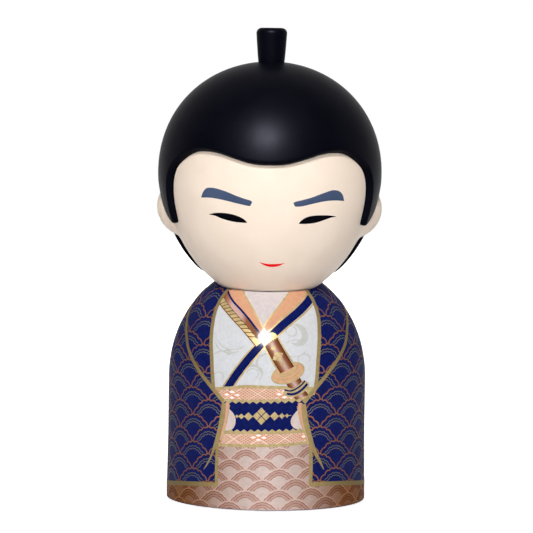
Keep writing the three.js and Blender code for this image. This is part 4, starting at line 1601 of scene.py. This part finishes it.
def add_camera():
    data = bpy.data.cameras.new("camera")
    data.lens = LENS
    data.sensor_width = 36
    data.clip_end = 20
    camera = new_object("camera", data)
    spot = Matrix.Translation(Vector((CAMERA_ASIDE, -CAMERA_DISTANCE, CAMERA_HEIGHT)) * MM)
    tilt = Matrix.Rotation(np.radians(90 - CAMERA_PITCH), 4, "X")
    camera.matrix_world = spot @ tilt @ Matrix.Rotation(np.radians(CAMERA_ROLL), 4, "Z")
    bpy.context.scene.camera = camera


def add_lamp(name, azimuth, elevation, distance, size, power, reflected=True, lights=True):
    """A round lamp that looks at the figurine. Azimuth 0 is in front. A lamp that isn't reflected
    leaves no highlight, and one that doesn't light leaves only a highlight."""
    data = bpy.data.lights.new(name, "AREA")
    data.shape = "DISK"
    data.size = size
    data.energy = power
    lamp = new_object(name, data)
    turn, rise = np.radians([azimuth, elevation])
    way = Vector((np.sin(turn) * np.cos(rise), -np.cos(turn) * np.cos(rise), np.sin(rise)))
    lamp.location = Vector((0, 0, LAMP_AIM)) + way * distance
    lamp.visible_glossy = reflected
    lamp.visible_diffuse = lights
    lamp.rotation_euler = way.to_track_quat("Z", "Y").to_euler()


def seen_directly(tree):
    """1 for what the camera, a reflection or a clear material sees, else 0."""
    rays = tree.nodes.new("ShaderNodeLightPath").outputs
    other = math_node(tree, "MAXIMUM", rays["Is Glossy Ray"], rays["Is Transmission Ray"])
    return math_node(tree, "MAXIMUM", rays["Is Camera Ray"], other)


def add_world():
    """A white surround to look at, which lights the figurine at a plain level."""
    world = bpy.data.worlds.new("studio")
    world.use_nodes = True
    tree = world.node_tree
    strength = math_node(tree, "MAXIMUM", seen_directly(tree), AMBIENT)
    give(tree, tree.nodes["Background"], Color=WHITE, Strength=strength)
    world.cycles.sampling_method = "NONE"
    bpy.context.scene.world = world


def add_floor():
    """A pale floor. To the camera and to reflections it adds its own white to the light that falls
    on it, so that it shows white, with the figurine's shadow."""
    mesh = bpy.data.meshes.new("floor")
    signs = ((-1, -1), (1, -1), (1, 1), (-1, 1))
    corners = [(x * FLOOR_REACH, y * FLOOR_REACH, 0) for x, y in signs]
    mesh.from_pydata(corners, [], [(0, 1, 2, 3)])
    floor = new_object("floor", mesh)
    material = bpy.data.materials.new("floor_white")
    material.use_nodes = True
    material.cycles.emission_sampling = "NONE"
    tree = material.node_tree
    glow = math_node(tree, "MULTIPLY", seen_directly(tree), FLOOR_GLOW)
    shader = tree.nodes["Principled BSDF"]
    give(tree, shader, Base_Color=(0.8, 0.8, 0.8, 1), Roughness=1, Specular_IOR_Level=0)
    give(tree, shader, Emission_Color=WHITE, Emission_Strength=glow)
    mesh.materials.append(material)


add_camera()
add_world()
add_floor()
add_lamp("key", -3, 37.6, 1.2, 0.16, 8.5, reflected=False)
add_lamp("flash", -4.5, 36.8, 1.2, 0.26, 120, lights=False)
add_lamp("front", 0, 3, 1.3, 0.4, 4, reflected=False)
add_lamp("back", 180, 20, 1.3, 0.5, 8, reflected=False)

scene = bpy.context.scene
scene.view_settings.view_transform = "Standard"
